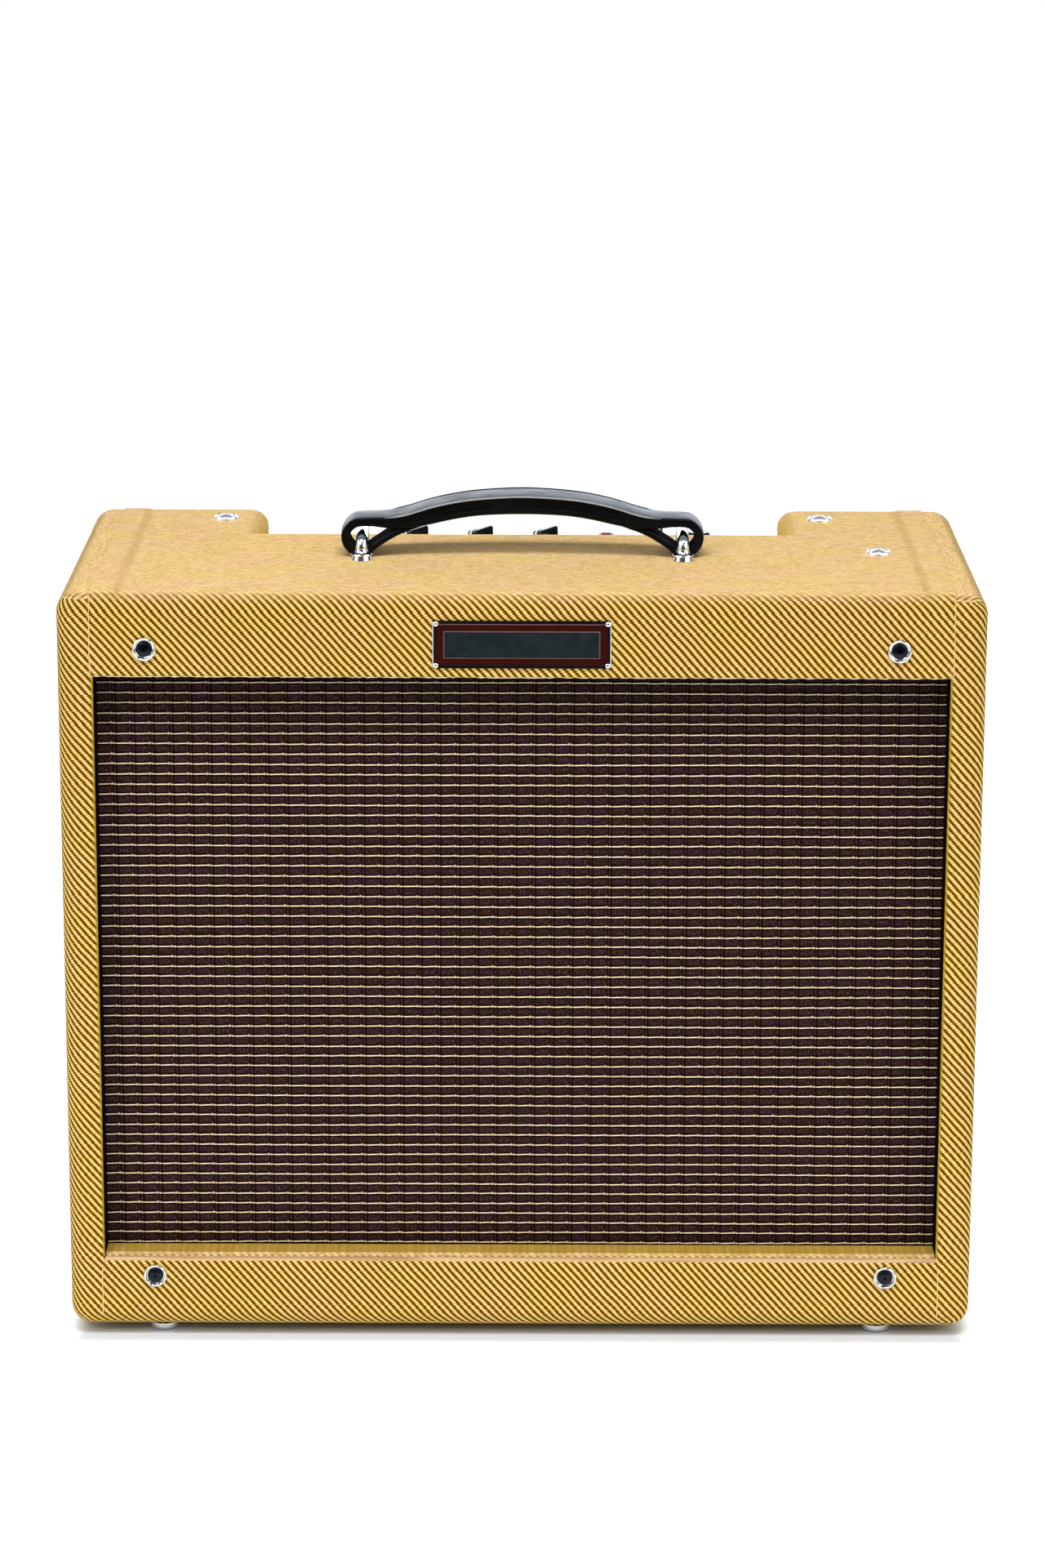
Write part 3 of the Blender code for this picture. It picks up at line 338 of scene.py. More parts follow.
def make_tweed():
    """Lacquered twill: brown stepped grooves between ribs of short rounded threads."""
    g = surface("tweed", GOLD, 0.6, specular=0.015)
    cloth = g.node("ShaderNodeUVMap", uv_map="Cloth")
    u, v, _ = g.split(cloth)
    u = u + (g.noise(cloth, 45.0) - 0.5) * 0.0016
    straight = u * RIBS_ACROSS + v * RIBS_UP
    lean = (straight.fract() - 0.5) * THREAD_LEAN
    rows = v / WEFT + lean
    row = rows.floor()
    in_row = abs(rows.fract() - 0.5)
    stepped = (row + 0.5) * (0.55 * WEFT * RIBS_UP)
    smooth = v * (0.45 * RIBS_UP)
    jitter = (g.white(g.combine(row, 3.0)) - 0.5) * 0.08
    phase = u * RIBS_ACROSS + (stepped + smooth) + jitter
    rib = phase.floor()
    off_rib = abs(phase.fract() - 0.5)
    wide = (off_rib / 0.325) ** 2.0
    tall = (in_row / 1.05) ** 2.0
    outward = (wide + tall).root()
    groove = g.ramp(outward, 0.72, 1.14)
    cell = g.white(g.combine(rib, row, 1.0))
    patch = g.noise(cloth, 28.0, 3.0)
    facing = g.facing(UP)
    lying = g.ramp(facing, 0.45, 0.93)
    flat = g.ramp(facing, 0.8, 0.99)
    light = g.mix(g.ramp(patch, 0.42, 0.62), GOLD, PEACH)
    # Thread crowns are mixed towards straw: a painted highlight on each rounded thread.
    crown = g.ramp(outward, 0.1, 0.85, 0.75, 0.0)
    light = g.mix(cell * 0.3 + crown, light, STRAW)
    # Faces that look up get a paler, pinker colour: painted light and sheen from above.
    painted_top_light = g.mix(g.ramp(patch, 0.38, 0.64), (1.0, 0.745, 0.385), (1.0, 0.7, 0.43))
    light = g.mix(lying * 0.66, light, painted_top_light)
    # Thread edges and the notches between thread rows are mixed towards SHADED: painted shade, weaker on
    # flat faces.
    notch_shade = g.ramp(outward, 0.5, 1.0, 0.0, 0.5).most(g.ramp(in_row, 0.3, 0.5, 0.0, 0.42))
    shade = notch_shade * g.ramp(flat, 0.0, 1.0, 1.0, 0.3)
    light = g.mix(shade, light, SHADED)
    dashes = g.noise(g.combine(u, v * 1.6), 420.0, 3.0, 0.7)
    speck = cell * 0.25 + dashes * 0.75
    light = g.mix(g.ramp(speck, 0.4, 0.62, 0.0, 0.42) * lying, light, SHADED)
    x, y, z = g.split(g.place())
    lip_x, lip_y, soft = CUT_HALF_W + EDGE_R, CUT_FRONT - EDGE_R, 0.001
    by_cut = g.ramp(abs(x), lip_x - soft, lip_x + soft, 1.0, 0.0)
    by_cut = by_cut * g.ramp(y, lip_y - soft, lip_y + soft)
    by_cut = by_cut * g.ramp(z, TOP - BOARD - soft, TOP - BOARD, 0.0, 0.9)
    deep = groove * (g.ramp(flat, 0.0, 1.0, 1.0, 0.12) * g.ramp(lying, 0.0, 1.0, 1.0, 0.62))
    deep = deep * (1.0 - by_cut)
    colour = g.mix(deep, light, BROWN)
    ridge = abs(abs(u) - (RIDGE_IN + RIDGE_OUT) / 2)
    # Darker line on the top along the ridge where the top cloth lies over the sides' cloth: painted shade.
    ridge_shade = g.ramp(ridge, 0.0004, 0.0042, 0.3, 0.0) * lying
    colour = g.mix(ridge_shade, colour, (0.42, 0.23, 0.07))
    # The cloth on the opening's side lips, where it turns into the well, is mixed darker: painted shade.
    side = g.ramp(abs(x) - OPENING_HALF_W, 0.0007, 0.0016, 0.8, 0.0)
    level = abs(z - (OPENING_LOW + OPENING_HIGH) / 2)
    beside = level < (OPENING_HIGH - OPENING_LOW) / 2
    well_fold_shade = side * beside * (y < 0.0)
    colour = g.mix(well_fold_shade, colour, (0.42, 0.25, 0.012))
    g.set("Base Color", colour)
    lift = g.ramp(outward, 0.0, 1.25, 1.0, 0.0)
    g.set("Roughness", g.ramp(lift, 0.0, 1.0, 0.9, 0.6))
    g.bump(lift, 0.00035, 0.75)
    return g.owner


CORD_PITCH = 0.005814  # between the grille's raised cords
KNOT_PITCH = 0.01052  # between the pairs of ties along a cord
KNOT_SHIFT = -0.00437
TIE_FIRST = -0.085  # the two ties of a pair, in parts of their pitch
TIE_SECOND = 0.085
CORD_FIRST = OPENING_LOW + 0.0014


def tie_phase(g, x):
    """Place along a cord from -0.5 to 0.5, with a pair of ties in the middle."""
    turns = (x - KNOT_SHIFT) / KNOT_PITCH + 0.5
    return turns.fract() - 0.5, turns.floor()


def near(g, value, centre, inner, outer):
    """One close to centre, fading to zero at outer."""
    return g.ramp(abs(value - centre), inner, outer, 1.0, 0.0)


def make_grille_weave():
    """Dark oxblood weave of short threads: nearly black by the ties, and nearly black beside the cords as
    painted shade.
    """
    g = surface("grille_weave", (0.04, 0.02, 0.02), 0.9, specular=0.05)
    x, _, z = g.split(g.place())
    phase, column = tie_phase(g, x)
    bands = (z - CORD_FIRST) / CORD_PITCH
    band = bands.floor()
    in_band = bands.fract()
    wefts = z / (CORD_PITCH / 7)
    warps = x / (KNOT_PITCH / 10)
    weft = abs(wefts.fract() - 0.5)
    warp = abs(warps.fract() - 0.5)
    over = (1.0 - warp * 2.0) * (1.0 - weft)
    grain = g.noise(g.combine(x, 0.0, z * 0.7), 1000.0, 3.0, 0.75)
    cell = g.white(g.combine(column, band, 2.0))
    tint = g.noise(g.combine(x, 0.0, z), 110.0, 2.0)
    mood = g.ramp(cell * 0.14 + tint * 0.86, 0.36, 0.6)
    dull = g.mix(mood, (0.05, 0.017, 0.027), (0.043, 0.02, 0.01))
    lit = over * 0.11 + grain * 0.91
    colour = g.mix(g.ramp(lit, 0.36, 0.58), g.mix(0.85, dull, (0.0, 0.0, 0.0)), dull)
    colour = g.mix(g.ramp(lit, 0.52, 0.7, 0.0, 0.56), colour, (0.17, 0.095, 0.115))
    dark = near(g, phase, 0.155, 0.02, 0.12) * 0.9
    dark = dark.most(near(g, phase, -0.03, 0.04, 0.12) * 0.62)
    colour = g.mix(dark, colour, (0.008, 0.0028, 0.0015))
    speck = near(g, phase, TIE_SECOND, 0.008, 0.028) * g.ramp(weft, 0.05, 0.35, 1.0, 0.2)
    colour = g.mix(speck * 0.28, colour, (0.13, 0.08, 0.03))
    # Beside each cord the weave is mixed nearly black and sunk in the bump: painted shade.
    edge = g.ramp(in_band, 0.1, 0.29, 1.0, 0.0).most(g.ramp(in_band, 0.69, 0.85))
    colour = g.mix(edge * 0.92, colour, (0.007, 0.002, 0.0008))
    g.set("Base Color", colour)
    height = (weft + warp) * -0.5 + edge * -0.8
    g.bump(height + grain * 0.4, 0.0003, 0.8)
    return g.owner


def make_cord_thread():
    """Cream cord with painted shade: brown where it turns away, dark in the hollow middle of its first tie
    and in its pinches; the second tie is bright.
    """
    g = surface("grille_cord", (0.9, 0.78, 0.55), 0.6, specular=0.15)
    x, _, z = g.split(g.place())
    phase, _ = tie_phase(g, x)
    band = (z / CORD_PITCH).floor()
    tint = g.noise(g.combine(x, 0.0, band * 0.31), 55.0, 2.0)
    colour = g.mix(g.ramp(tint, 0.38, 0.62), (1.0, 0.87, 0.56), (1.0, 0.83, 0.73))
    twist = ((x + z * 0.6) / 0.0006).fract()
    colour = g.mix(g.ramp(twist, 0.6, 0.95, 0.0, 0.18), colour, (0.55, 0.4, 0.15))
    # Brown where the cord turns away from the front: painted shade round the rounded cord.
    towards = g.facing(BACKWARD) * -1.0
    colour = g.mix(g.ramp(towards, 0.36, 0.86, 0.92, 0.0), colour, (0.2, 0.095, 0.018))
    # Dark middle of the first tie: painted shade for its hollow.
    hollow = near(g, phase, TIE_FIRST, 0.012, 0.045) * g.ramp(towards, 0.7, 0.97)
    colour = g.mix(hollow * 0.8, colour, (0.3, 0.18, 0.05))
    # Dark pinches between the ties and after the second tie: painted shade.
    notch_shade = near(g, phase, 0.0, 0.01, 0.035).most(near(g, phase, 0.155, 0.015, 0.055))
    colour = g.mix(notch_shade * 0.78, colour, (0.24, 0.14, 0.04))
    g.set("Base Color", colour)
    g.bump(twist, 0.0001, 0.5)
    return g.owner


def make_leather():
    """Smooth black strap leather: fine grain and a satin gloss that wear breaks up."""
    g = surface("black_leather", (0.003, 0.0033, 0.0042), 0.3, specular=0.11)
    place = g.place()
    values = (("Vector", place), ("Scale", 1500.0))
    cells = g.node("ShaderNodeTexVoronoi", values, "Distance", feature="SMOOTH_F1")
    wear = g.noise(place, 60.0, 4.0, 0.6)
    g.set("Base Color", g.mix(g.ramp(wear, 0.45, 0.75), (0.0022, 0.0024, 0.003), (0.005, 0.0056, 0.0075)))
    g.set("Roughness", g.ramp(wear, 0.35, 0.7, 0.33, 0.43))
    g.set("Specular Tint", (0.66, 0.8, 1.0, 1.0))
    g.bump(cells * 0.5 + wear * 0.8, 0.00018, 0.4)
    return g.owner


def make_grained(
    name,
    colour,
    roughness,
    other=None,
    metallic=0.0,
    specular=0.5,
    grain=(220.0, 3.0, 0.5),
    tint=(0.38, 0.66),
    swing=(0.05, 0.07),
    relief=(0.00004, 0.3),
):
    """A surface whose colour, gloss and height follow one grain.

    `grain` is the noise's scale, detail and roughness, `tint` the ramp from colour to other,
    `swing` how far the roughness falls and rises, and `relief` the bump's distance and strength.
    """
    g = surface(name, colour, roughness, metallic, specular)
    grain = g.noise(g.place(), *grain)
    if other:
        g.set("Base Color", g.mix(g.ramp(grain, *tint), colour, other))
    if swing:
        g.set("Roughness", g.ramp(grain, 0.3, 0.7, roughness - swing[0], roughness + swing[1]))
    g.bump(grain, *relief)
    return g.owner


def make_metal(name, colour, roughness, swing=0.02, scale=300.0):
    """Plated metal whose polish varies a little."""
    grain = (scale, 3.0, 0.6)
    relief = (0.00002, 0.25)
    return make_grained(name, colour, roughness, None, 1.0, 0.5, grain, (), (swing, swing), relief)


def make_speckled(name, colour, other, roughness, scale, specular=0.35):
    looks = (0.0, specular, (scale, 4.0, 0.65), (0.38, 0.66), (0.06, 0.06), (0.00012, 0.5))
    return make_grained(name, colour, roughness, other, *looks)


def make_fibrous(name, colour, other, roughness, specular, grain, strength):
    """Rough fibres that change the colour and the height."""
    looks = (0.0, specular, grain, (0.4, 0.7), None, (0.0003, strength))
    return make_grained(name, colour, roughness, other, *looks)


def make_zinc():
    """Plating brushed along X."""
    g = surface("zinc", (0.5, 0.5, 0.52), 0.32, 1.0)
    x, y, z = g.split(g.place())
    lines = g.noise(g.combine(x * 0.06, y, z), 1800.0)
    g.set("Roughness", g.ramp(lines, 0.3, 0.7, 0.24, 0.42))
    g.bump(lines, 0.00003, 0.4)
    return g.owner


def make_wood(name, light, dark, along):
    """Planed board with growth rings stretched along one axis, 0 for X and 2 for Z."""
    g = surface(name, light, 0.62, specular=0.3)
    parts = [one * (0.06 if i == along else 1.0) for i, one in enumerate(g.split(g.place()))]
    flow = g.combine(*parts)
    rings = g.noise(flow, 60.0, 3.0, 0.55)
    bands = abs((rings * 9.0).fract() - 0.5)
    fibre = g.noise(flow, 900.0, 2.0, 0.6)
    colour = g.mix(g.ramp(bands, 0.1, 0.45), light, dark)
    g.set("Base Color", g.mix(fibre * 0.3, colour, dark))
    g.bump(bands + fibre, 0.0001, 0.4)
    return g.owner


def make_glass(name, colour, roughness, clear):
    g = surface(name, colour, roughness, specular=0.6)
    g.set("Transmission Weight", clear)
    g.set("IOR", 1.45)
    smear = g.noise(g.place(), 120.0, 3.0)
    g.set("Roughness", g.ramp(smear, 0.35, 0.7, roughness, roughness + 0.06))
    return g.owner


def make_laminations():
    """Stack of dark lacquered steel sheets."""
    g = surface("laminations", (0.05, 0.05, 0.055), 0.45, 0.4)
    sheet = (g.split(g.place())[1] / 0.001).fract()
    rust = g.noise(g.place(), 90.0, 4.0)
    g.set("Base Color", g.mix(g.ramp(rust, 0.5, 0.8), (0.03, 0.03, 0.034), (0.1, 0.075, 0.06)))
    g.bump(g.ramp(sheet, 0.05, 0.25), 0.0002, 0.8)
    return g.owner


TWEED = make_tweed()
GRILLE_WEAVE = make_grille_weave()
CORD_THREAD = make_cord_thread()
LEATHER = make_leather()
SUEDE = make_fibrous(
    "rough_leather", (0.006, 0.006, 0.007), (0.03, 0.03, 0.033), 0.95, 0.02, (900.0, 4.0, 0.7), 0.6
)
CHROME = make_metal("chrome", (0.86, 0.87, 0.89), 0.06)
PANEL_CHROME = make_metal("panel_chrome", (0.74, 0.75, 0.77), 0.13, 0.04, 120.0)
SATIN_CHROME = make_metal("satin_chrome", (0.94, 0.95, 0.97), 0.34)
NICKEL = make_metal("nickel", (0.72, 0.71, 0.69), 0.14)
ZINC = make_zinc()
BLACK_OXIDE = make_metal("black_oxide", (0.02, 0.021, 0.025), 0.3, 0.05)
PHENOLIC = make_grained("phenolic", (0.003, 0.003, 0.004), 0.09, specular=0.42)
RUBBER = make_grained("rubber", (0.018, 0.018, 0.019), 0.62)
WHITE_INK = make_grained("white_ink", (0.85, 0.85, 0.82), 0.5)
BLACK_INK = make_grained("black_ink", (0.004, 0.004, 0.005), 0.55, specular=0.05)
ENAMEL = make_speckled("brown_enamel", (0.032, 0.0042, 0.003), (0.04, 0.0058, 0.004), 0.5, 160.0, 0.02)
# Light blue-grey for the handle's front bead: a painted highlight along its edge.
BEAD_HIGHLIGHT = make_grained("bead_highlight", (0.36, 0.39, 0.44), 0.24)
# Near black, without gloss, for the handle's rear bead: painted shade along the far edge.
REAR_BEAD_SHADE = make_grained("rear_bead_shade", (0.004, 0.004, 0.005), 0.6, specular=0.0)
JEWEL = make_glass("jewel", (0.2, 0.025, 0.085), 0.05, 0.3)
VALVE_GLASS = make_glass("valve_glass", (0.95, 0.97, 0.98), 0.02, 0.96)
PLATE_METAL = make_speckled("valve_plate", (0.1, 0.1, 0.11), (0.19, 0.19, 0.2), 0.55, 400.0)
PINE_X = make_wood("pine_across", (0.7, 0.47, 0.24), (0.5, 0.29, 0.12), 0)
PINE_Z = make_wood("pine_upright", (0.7, 0.47, 0.24), (0.5, 0.29, 0.12), 2)
PLYWOOD = make_wood("plywood", (0.58, 0.4, 0.23), (0.44, 0.28, 0.14), 0)
LAMINATIONS = make_laminations()
CONE_PAPER = make_fibrous(
    "cone_paper", (0.022, 0.02, 0.018), (0.06, 0.055, 0.048), 0.88, 0.2, (500.0, 5.0, 0.7), 0.7
)
FERRITE = make_speckled("ferrite", (0.035, 0.035, 0.038), (0.06, 0.06, 0.064), 0.55, 700.0)
FIBRE = make_speckled("fibre_board", (0.22, 0.115, 0.05), (0.3, 0.17, 0.08), 0.6, 300.0)
FRAY = make_speckled("frayed_thread", (0.97, 0.78, 0.4), (0.72, 0.48, 0.16), 0.8, 1400.0, 0.05)
# Pale cloth for the tube under the opening's upper lip: a painted highlight along the fold.
LIP_HIGHLIGHT = make_speckled("lip_highlight", (0.93, 0.86, 0.62), (0.8, 0.62, 0.28), 0.8, 500.0, 0.05)
# Near black for the walls of the speaker well: painted shade inside the well.
WELL_SHADE = make_speckled(
    "well_shade", (0.003, 0.0018, 0.0012), (0.0012, 0.0008, 0.0006), 0.9, 300.0, 0.02
)


# ---- Covering cloth ----
def unroll(along, across, half, width):
    """Length round a rounded rectangle's outline, from the middle of one side.

    `along` is the distance from that side's middle, `across` the distance behind it.
    """
    flat = half - EDGE_R
    turn = EDGE_R * pi / 2
    behind = width - EDGE_R
    if across <= EDGE_R:
        if along <= flat:
            return along
        return flat + EDGE_R * atan2(along - flat, EDGE_R - across)
    if across < behind:
        if along > flat:
            return flat + turn + across - EDGE_R
        return along
    if along > flat:
        return flat + turn + behind - EDGE_R + EDGE_R * atan2(across - behind, along - flat)
    return flat + 2 * turn + behind - EDGE_R + flat - along


def rise(z):
    """Height measured along the cloth, from the middle of the cabinet."""
    off = z - MIDDLE_Z
    flat = HALF_H - EDGE_R
    if abs(off) <= flat:
        return off
    beyond = min((abs(off) - flat) / EDGE_R, 1.0)
    return copysign(flat + EDGE_R * asin(beyond), off)


def cloth_uv(co, part, folded):
    """Flat place of a point on the cloth, in metres."""
    behind = co.y - FRONT
    off = co.z - MIDDLE_Z
    side = 1.0 if co.x > 0 else -1.0
    if part == "middle":
        return co.x, copysign(unroll(abs(off), behind, HALF_H, DEPTH), off)
    if folded:
        over = copysign(unroll(abs(off), HALF_W - abs(co.x), HALF_H, 2 * HALF_W), off)
        if behind < EDGE_R:
            height = max(abs(off) - (HALF_H - EDGE_R), 0.0)
            behind = EDGE_R - EDGE_R * atan2(EDGE_R - behind, height)
        return side * (HALF_W - EDGE_R + EDGE_R * pi / 2 + behind - EDGE_R), over
    return side * unroll(abs(co.x), behind, HALF_W, DEPTH), rise(co.z)


def bisect(bm, co, normal):
    geometry = bm.verts[:] + bm.edges[:] + bm.faces[:]
    bmesh.ops.bisect_plane(bm, geom=geometry, dist=1e-6, plane_co=co, plane_no=normal)


def cloth_shell():
    """Rounded box cut along its seams and openings, without the faces in the openings."""
    bm = bmesh.new()
    box_into(bm, CAB_LOW, CAB_HIGH, EDGE_R, EDGE_STEPS)
    for x in (SEAM_X, RIDGE_IN, RIDGE_OUT, CUT_HALF_W + EDGE_R, CUT_HALF_W):
        bisect(bm, (x, 0, 0), (1, 0, 0))
        bisect(bm, (-x, 0, 0), (1, 0, 0))
    bisect(bm, (0, CUT_FRONT - EDGE_R, 0), (0, 1, 0))
    for z in (OPENING_LOW - RAIL_R, OPENING_HIGH + LIP_R, BOTTOM + BOARD, TOP - BOARD):
        bisect(bm, (0, 0, z), (0, 0, 1))
    gone = []
    for face in bm.faces:
        c = face.calc_center_median()
        in_middle = abs(c.x) < SEAM_X
        if in_middle and c.y < FRONT + 1e-5 and OPENING_LOW - RAIL_R < c.z < OPENING_HIGH + LIP_R:
            gone.append(face)
        elif in_middle and c.y > REAR - 1e-5 and BOTTOM + BOARD < c.z < TOP - BOARD:
            gone.append(face)
        elif c.z > TOP - BOARD and c.y > CUT_FRONT - EDGE_R:
            inside = CUT_HALF_W if c.z < TOP - EDGE_R else CUT_HALF_W + EDGE_R
            if abs(c.x) < inside:
                gone.append(face)
    bmesh.ops.delete(bm, geom=gone, context="FACES")
    return bm


def strip_into(bm, lines):
    """Quads between successive rows of points."""
    rows = [[bm.verts.new(p) for p in line] for line in lines]
    for low, high in zip(rows, rows[1:]):
        for i in range(len(low) - 1):
            bm.faces.new((low[i], low[i + 1], high[i + 1], high[i]))


def spread(low, high, steps):
    return [low + (high - low) * i / steps for i in range(steps + 1)]


def opening_edges(bm):
    """Soft edges of the speaker opening, and the returns round the rear opening."""
    wall = FRONT + WELL_DEPTH
    xs = spread(-SEAM_X, SEAM_X, 12)
    upper = arc((FRONT + LIP_R, OPENING_HIGH + LIP_R), LIP_R, 180, 270, 5)
    lower = arc((FRONT + RAIL_R, OPENING_LOW - RAIL_R), RAIL_R, 180, 90, 8) + [(wall, OPENING_LOW)]
    for profile in (upper, lower):
        strip_into(bm, [[(x, y, z) for x in xs] for y, z in profile])
    zs = spread(OPENING_LOW - 0.009, OPENING_HIGH + 0.006, 12)
    for sign in (-1, 1):
        profile = arc((SEAM_X, FRONT + LIP_R), LIP_R, 270, 180, 5)
        strip_into(bm, [[(sign * (x + 1e-5), y, z) for z in zs] for x, y in profile])
    inner = REAR - 0.0125
    low, high = BOTTOM + BOARD, TOP - BOARD
    for sign in (-1, 1):
        lines = [[(sign * SEAM_X, y, z) for z in spread(low, high, 4)] for y in (REAR, inner)]
        strip_into(bm, lines)
    for z in (low, high):
        for start, end in ((-SEAM_X, -CUT_HALF_W), (-CUT_HALF_W, CUT_HALF_W), (CUT_HALF_W, SEAM_X)):
            if z == high and end == CUT_HALF_W:
                continue
            strip_into(bm, [[(x, y, z) for x in (start, end)] for y in (REAR, inner)])


def build_well_walls():
    """The boards' edges behind the opening's soft edges, near black: painted shade inside the well."""
    start = FRONT + LIP_R * 0.8
    end = FRONT + WELL_DEPTH
    half = SEAM_X - LIP_R + 0.0001
    high = OPENING_HIGH - 0.0001
    bm = bmesh.new()
    for sign in (-1, 1):
        lines = [[(sign * half, y, z) for z in spread(OPENING_LOW - 0.001, high, 8)] for y in (start, end)]
        strip_into(bm, lines)
    strip_into(bm, [[(x, y, high) for x in spread(-half, half, 8)] for y in (start, end)])
    walls = mesh_object("well_walls", bm, WELL_SHADE)
    thick = walls.modifiers.new("thickness", "SOLIDIFY")
    thick.thickness = 0.0002
    apply_modifiers(walls)
    keep(walls, "pine")


def recess_height(x, y):
    """Top surface beside the control recess, rounded down to the recess's wall."""
    out = max(abs(x) - CUT_HALF_W, CUT_FRONT - y)
    height = TOP - EDGE_R
    if out < EDGE_R:
        height += sqrt(max(EDGE_R**2 - (EDGE_R - out) ** 2, 0.0))
    else:
        height = TOP
    past = y - (REAR - EDGE_R)
    if past > 0:
        height = min(height, TOP - EDGE_R + sqrt(max(EDGE_R**2 - past**2, 0.0)))
    return height


def recess_edges(bm):
    """Lip and walls of the control recess."""
    bend = [EDGE_R * (1 - cos(pi / 2 * i / EDGE_STEPS)) for i in range(EDGE_STEPS + 1)]
    roll = [EDGE_R * sin(pi / 2 * i / EDGE_STEPS) for i in range(EDGE_STEPS + 1)]
    right = [CUT_HALF_W + b for b in bend]
    xs = [-x for x in reversed(right)] + spread(-CUT_HALF_W, CUT_HALF_W, 12)[1:-1] + right
    ys = [CUT_FRONT - b for b in reversed(bend)] + spread(CUT_FRONT, REAR - EDGE_R, 6)[1:-1]
    ys += [REAR - EDGE_R + r for r in roll]
    grid = {}
    for i, x in enumerate(xs):
        for j, y in enumerate(ys):
            if abs(x) >= CUT_HALF_W - 1e-7 or y <= CUT_FRONT + 1e-7:
                grid[i, j] = bm.verts.new((x, y, recess_height(x, y)))
    for i in range(len(xs) - 1):
        for j in range(len(ys) - 1):
            corners = [(i, j), (i + 1, j), (i + 1, j + 1), (i, j + 1)]
            in_recess = abs(xs[i] + xs[i + 1]) / 2 < CUT_HALF_W and ys[j + 1] > CUT_FRONT + 1e-7
            if not in_recess and all(c in grid for c in corners):
                bm.faces.new([grid[c] for c in corners])
    line = [(-CUT_HALF_W, y) for y in reversed(ys) if y >= CUT_FRONT - 1e-7]
    line += [(x, CUT_FRONT) for x in xs if abs(x) < CUT_HALF_W - 1e-7]
    line += [(CUT_HALF_W, y) for y in ys if y >= CUT_FRONT - 1e-7]
    strip_into(bm, [[(x, y, z) for x, y in line] for z in (TOP - EDGE_R, CUT_FLOOR)])


def lift_top(co):
    """The top cloth lies on the sides' cloth near its edges, one thickness higher."""
    if co.z < TOP - EDGE_R or abs(co.x) > SEAM_X + 1e-6:
        return 0.0
    over = (abs(co.x) - RIDGE_IN) / (RIDGE_OUT - RIDGE_IN)
    over = min(max(over, 0.0), 1.0)
    return CLOTH_STEP * over * (co.z - TOP + EDGE_R) / EDGE_R


def build_covering():
    bm = cloth_shell()
    opening_edges(bm)
    recess_edges(bm)
    bmesh.ops.remove_doubles(bm, verts=bm.verts[:], dist=2e-6)
    bmesh.ops.recalc_face_normals(bm, faces=bm.faces[:])
    layer = bm.loops.layers.uv.new("Cloth")
    mitre_z = TOP - EDGE_R + EDGE_R * sin(pi / 2 * MITRE / EDGE_STEPS)
    parts = {}
    bm.faces.index_update()
    for face in bm.faces:
        c = face.calc_center_median()
        by_opening = OPENING_LOW + 1e-4 <= c.z <= OPENING_HIGH - 1e-4
        at_side = abs(c.x) > (SEAM_X - LIP_R - 1e-4 if by_opening else SEAM_X)
        folded = at_side and (c.z > mitre_z or c.z < 2 * MIDDLE_Z - mitre_z)
        for loop in face.loops:
            loop[layer].uv = cloth_uv(loop.vert.co, "side" if at_side else "middle", folded)
        if at_side:
            name = "side_cloth_left" if c.x < 0 else "side_cloth_right"
        else:
            name = "top_cloth" if c.z > MIDDLE_Z else "bottom_cloth"
        parts.setdefault(name, []).append(face.index)
    for name, indices in sorted(parts.items()):
        part = bm.copy()
        wanted = set(indices)
        others = [f for f in part.faces if f.index not in wanted]
        bmesh.ops.delete(part, geom=others, context="FACES")
        if name == "top_cloth":
            for v in part.verts:
                v.co.z += lift_top(v.co)
        obj = mesh_object(name, part, TWEED, 50)
        thick = obj.modifiers.new("cloth_thickness", "SOLIDIFY")
        thick.thickness = CLOTH_T
        thick.offset = -1.0
        level = obj.modifiers.new("flat_faces_stay_flat", "WEIGHTED_NORMAL")
        level.keep_sharp = True
        level.weight = 100
        apply_modifiers(obj)
        keep(obj, "tweed", replaces="tweed_covering" if name == "top_cloth" else None)
    bm.free()


build_covering()
build_well_walls()


# ---- Frayed threads along the seams ----
def fray_into(bm, points, radius, hair_count, hair_length):
    """One loose edge thread with short hairs standing off it."""
    path = []
    for a, b in zip(points, points[1:]):
        steps = max(2, int((b - a).length / 0.0022))
        for i in range(steps):
            jitter = Vector([rng.uniform(-0.00016, 0.00016) for _ in range(3)])
            path.append(a.lerp(b, i / steps) + jitter)
    path.append(points[-1])
    radii = [radius * rng.uniform(0.55, 1.2) for _ in path]
    along = (points[-1] - points[0]).normalized()
    across = Vector((0, 0, 1)) if abs(along.z) < 0.7 else Vector((1, 0, 0))
    tube_into(bm, path, radii, 4, across)
    for _ in range(hair_count):
        root = rng.choice(path)
        lean = Vector([rng.uniform(-1, 1) for _ in range(3)]).normalized()
        tip = root + lean * hair_length * rng.uniform(0.4, 1.0)
        side = lean.orthogonal()
        bent = root.lerp(tip, 0.5) + along * 0.0002
        tube_into(bm, [root, bent, tip], [0.00007, 0.00006, 0.00003], 3, side)


HAIR = 0.0009  # length of the loose hairs along the seams


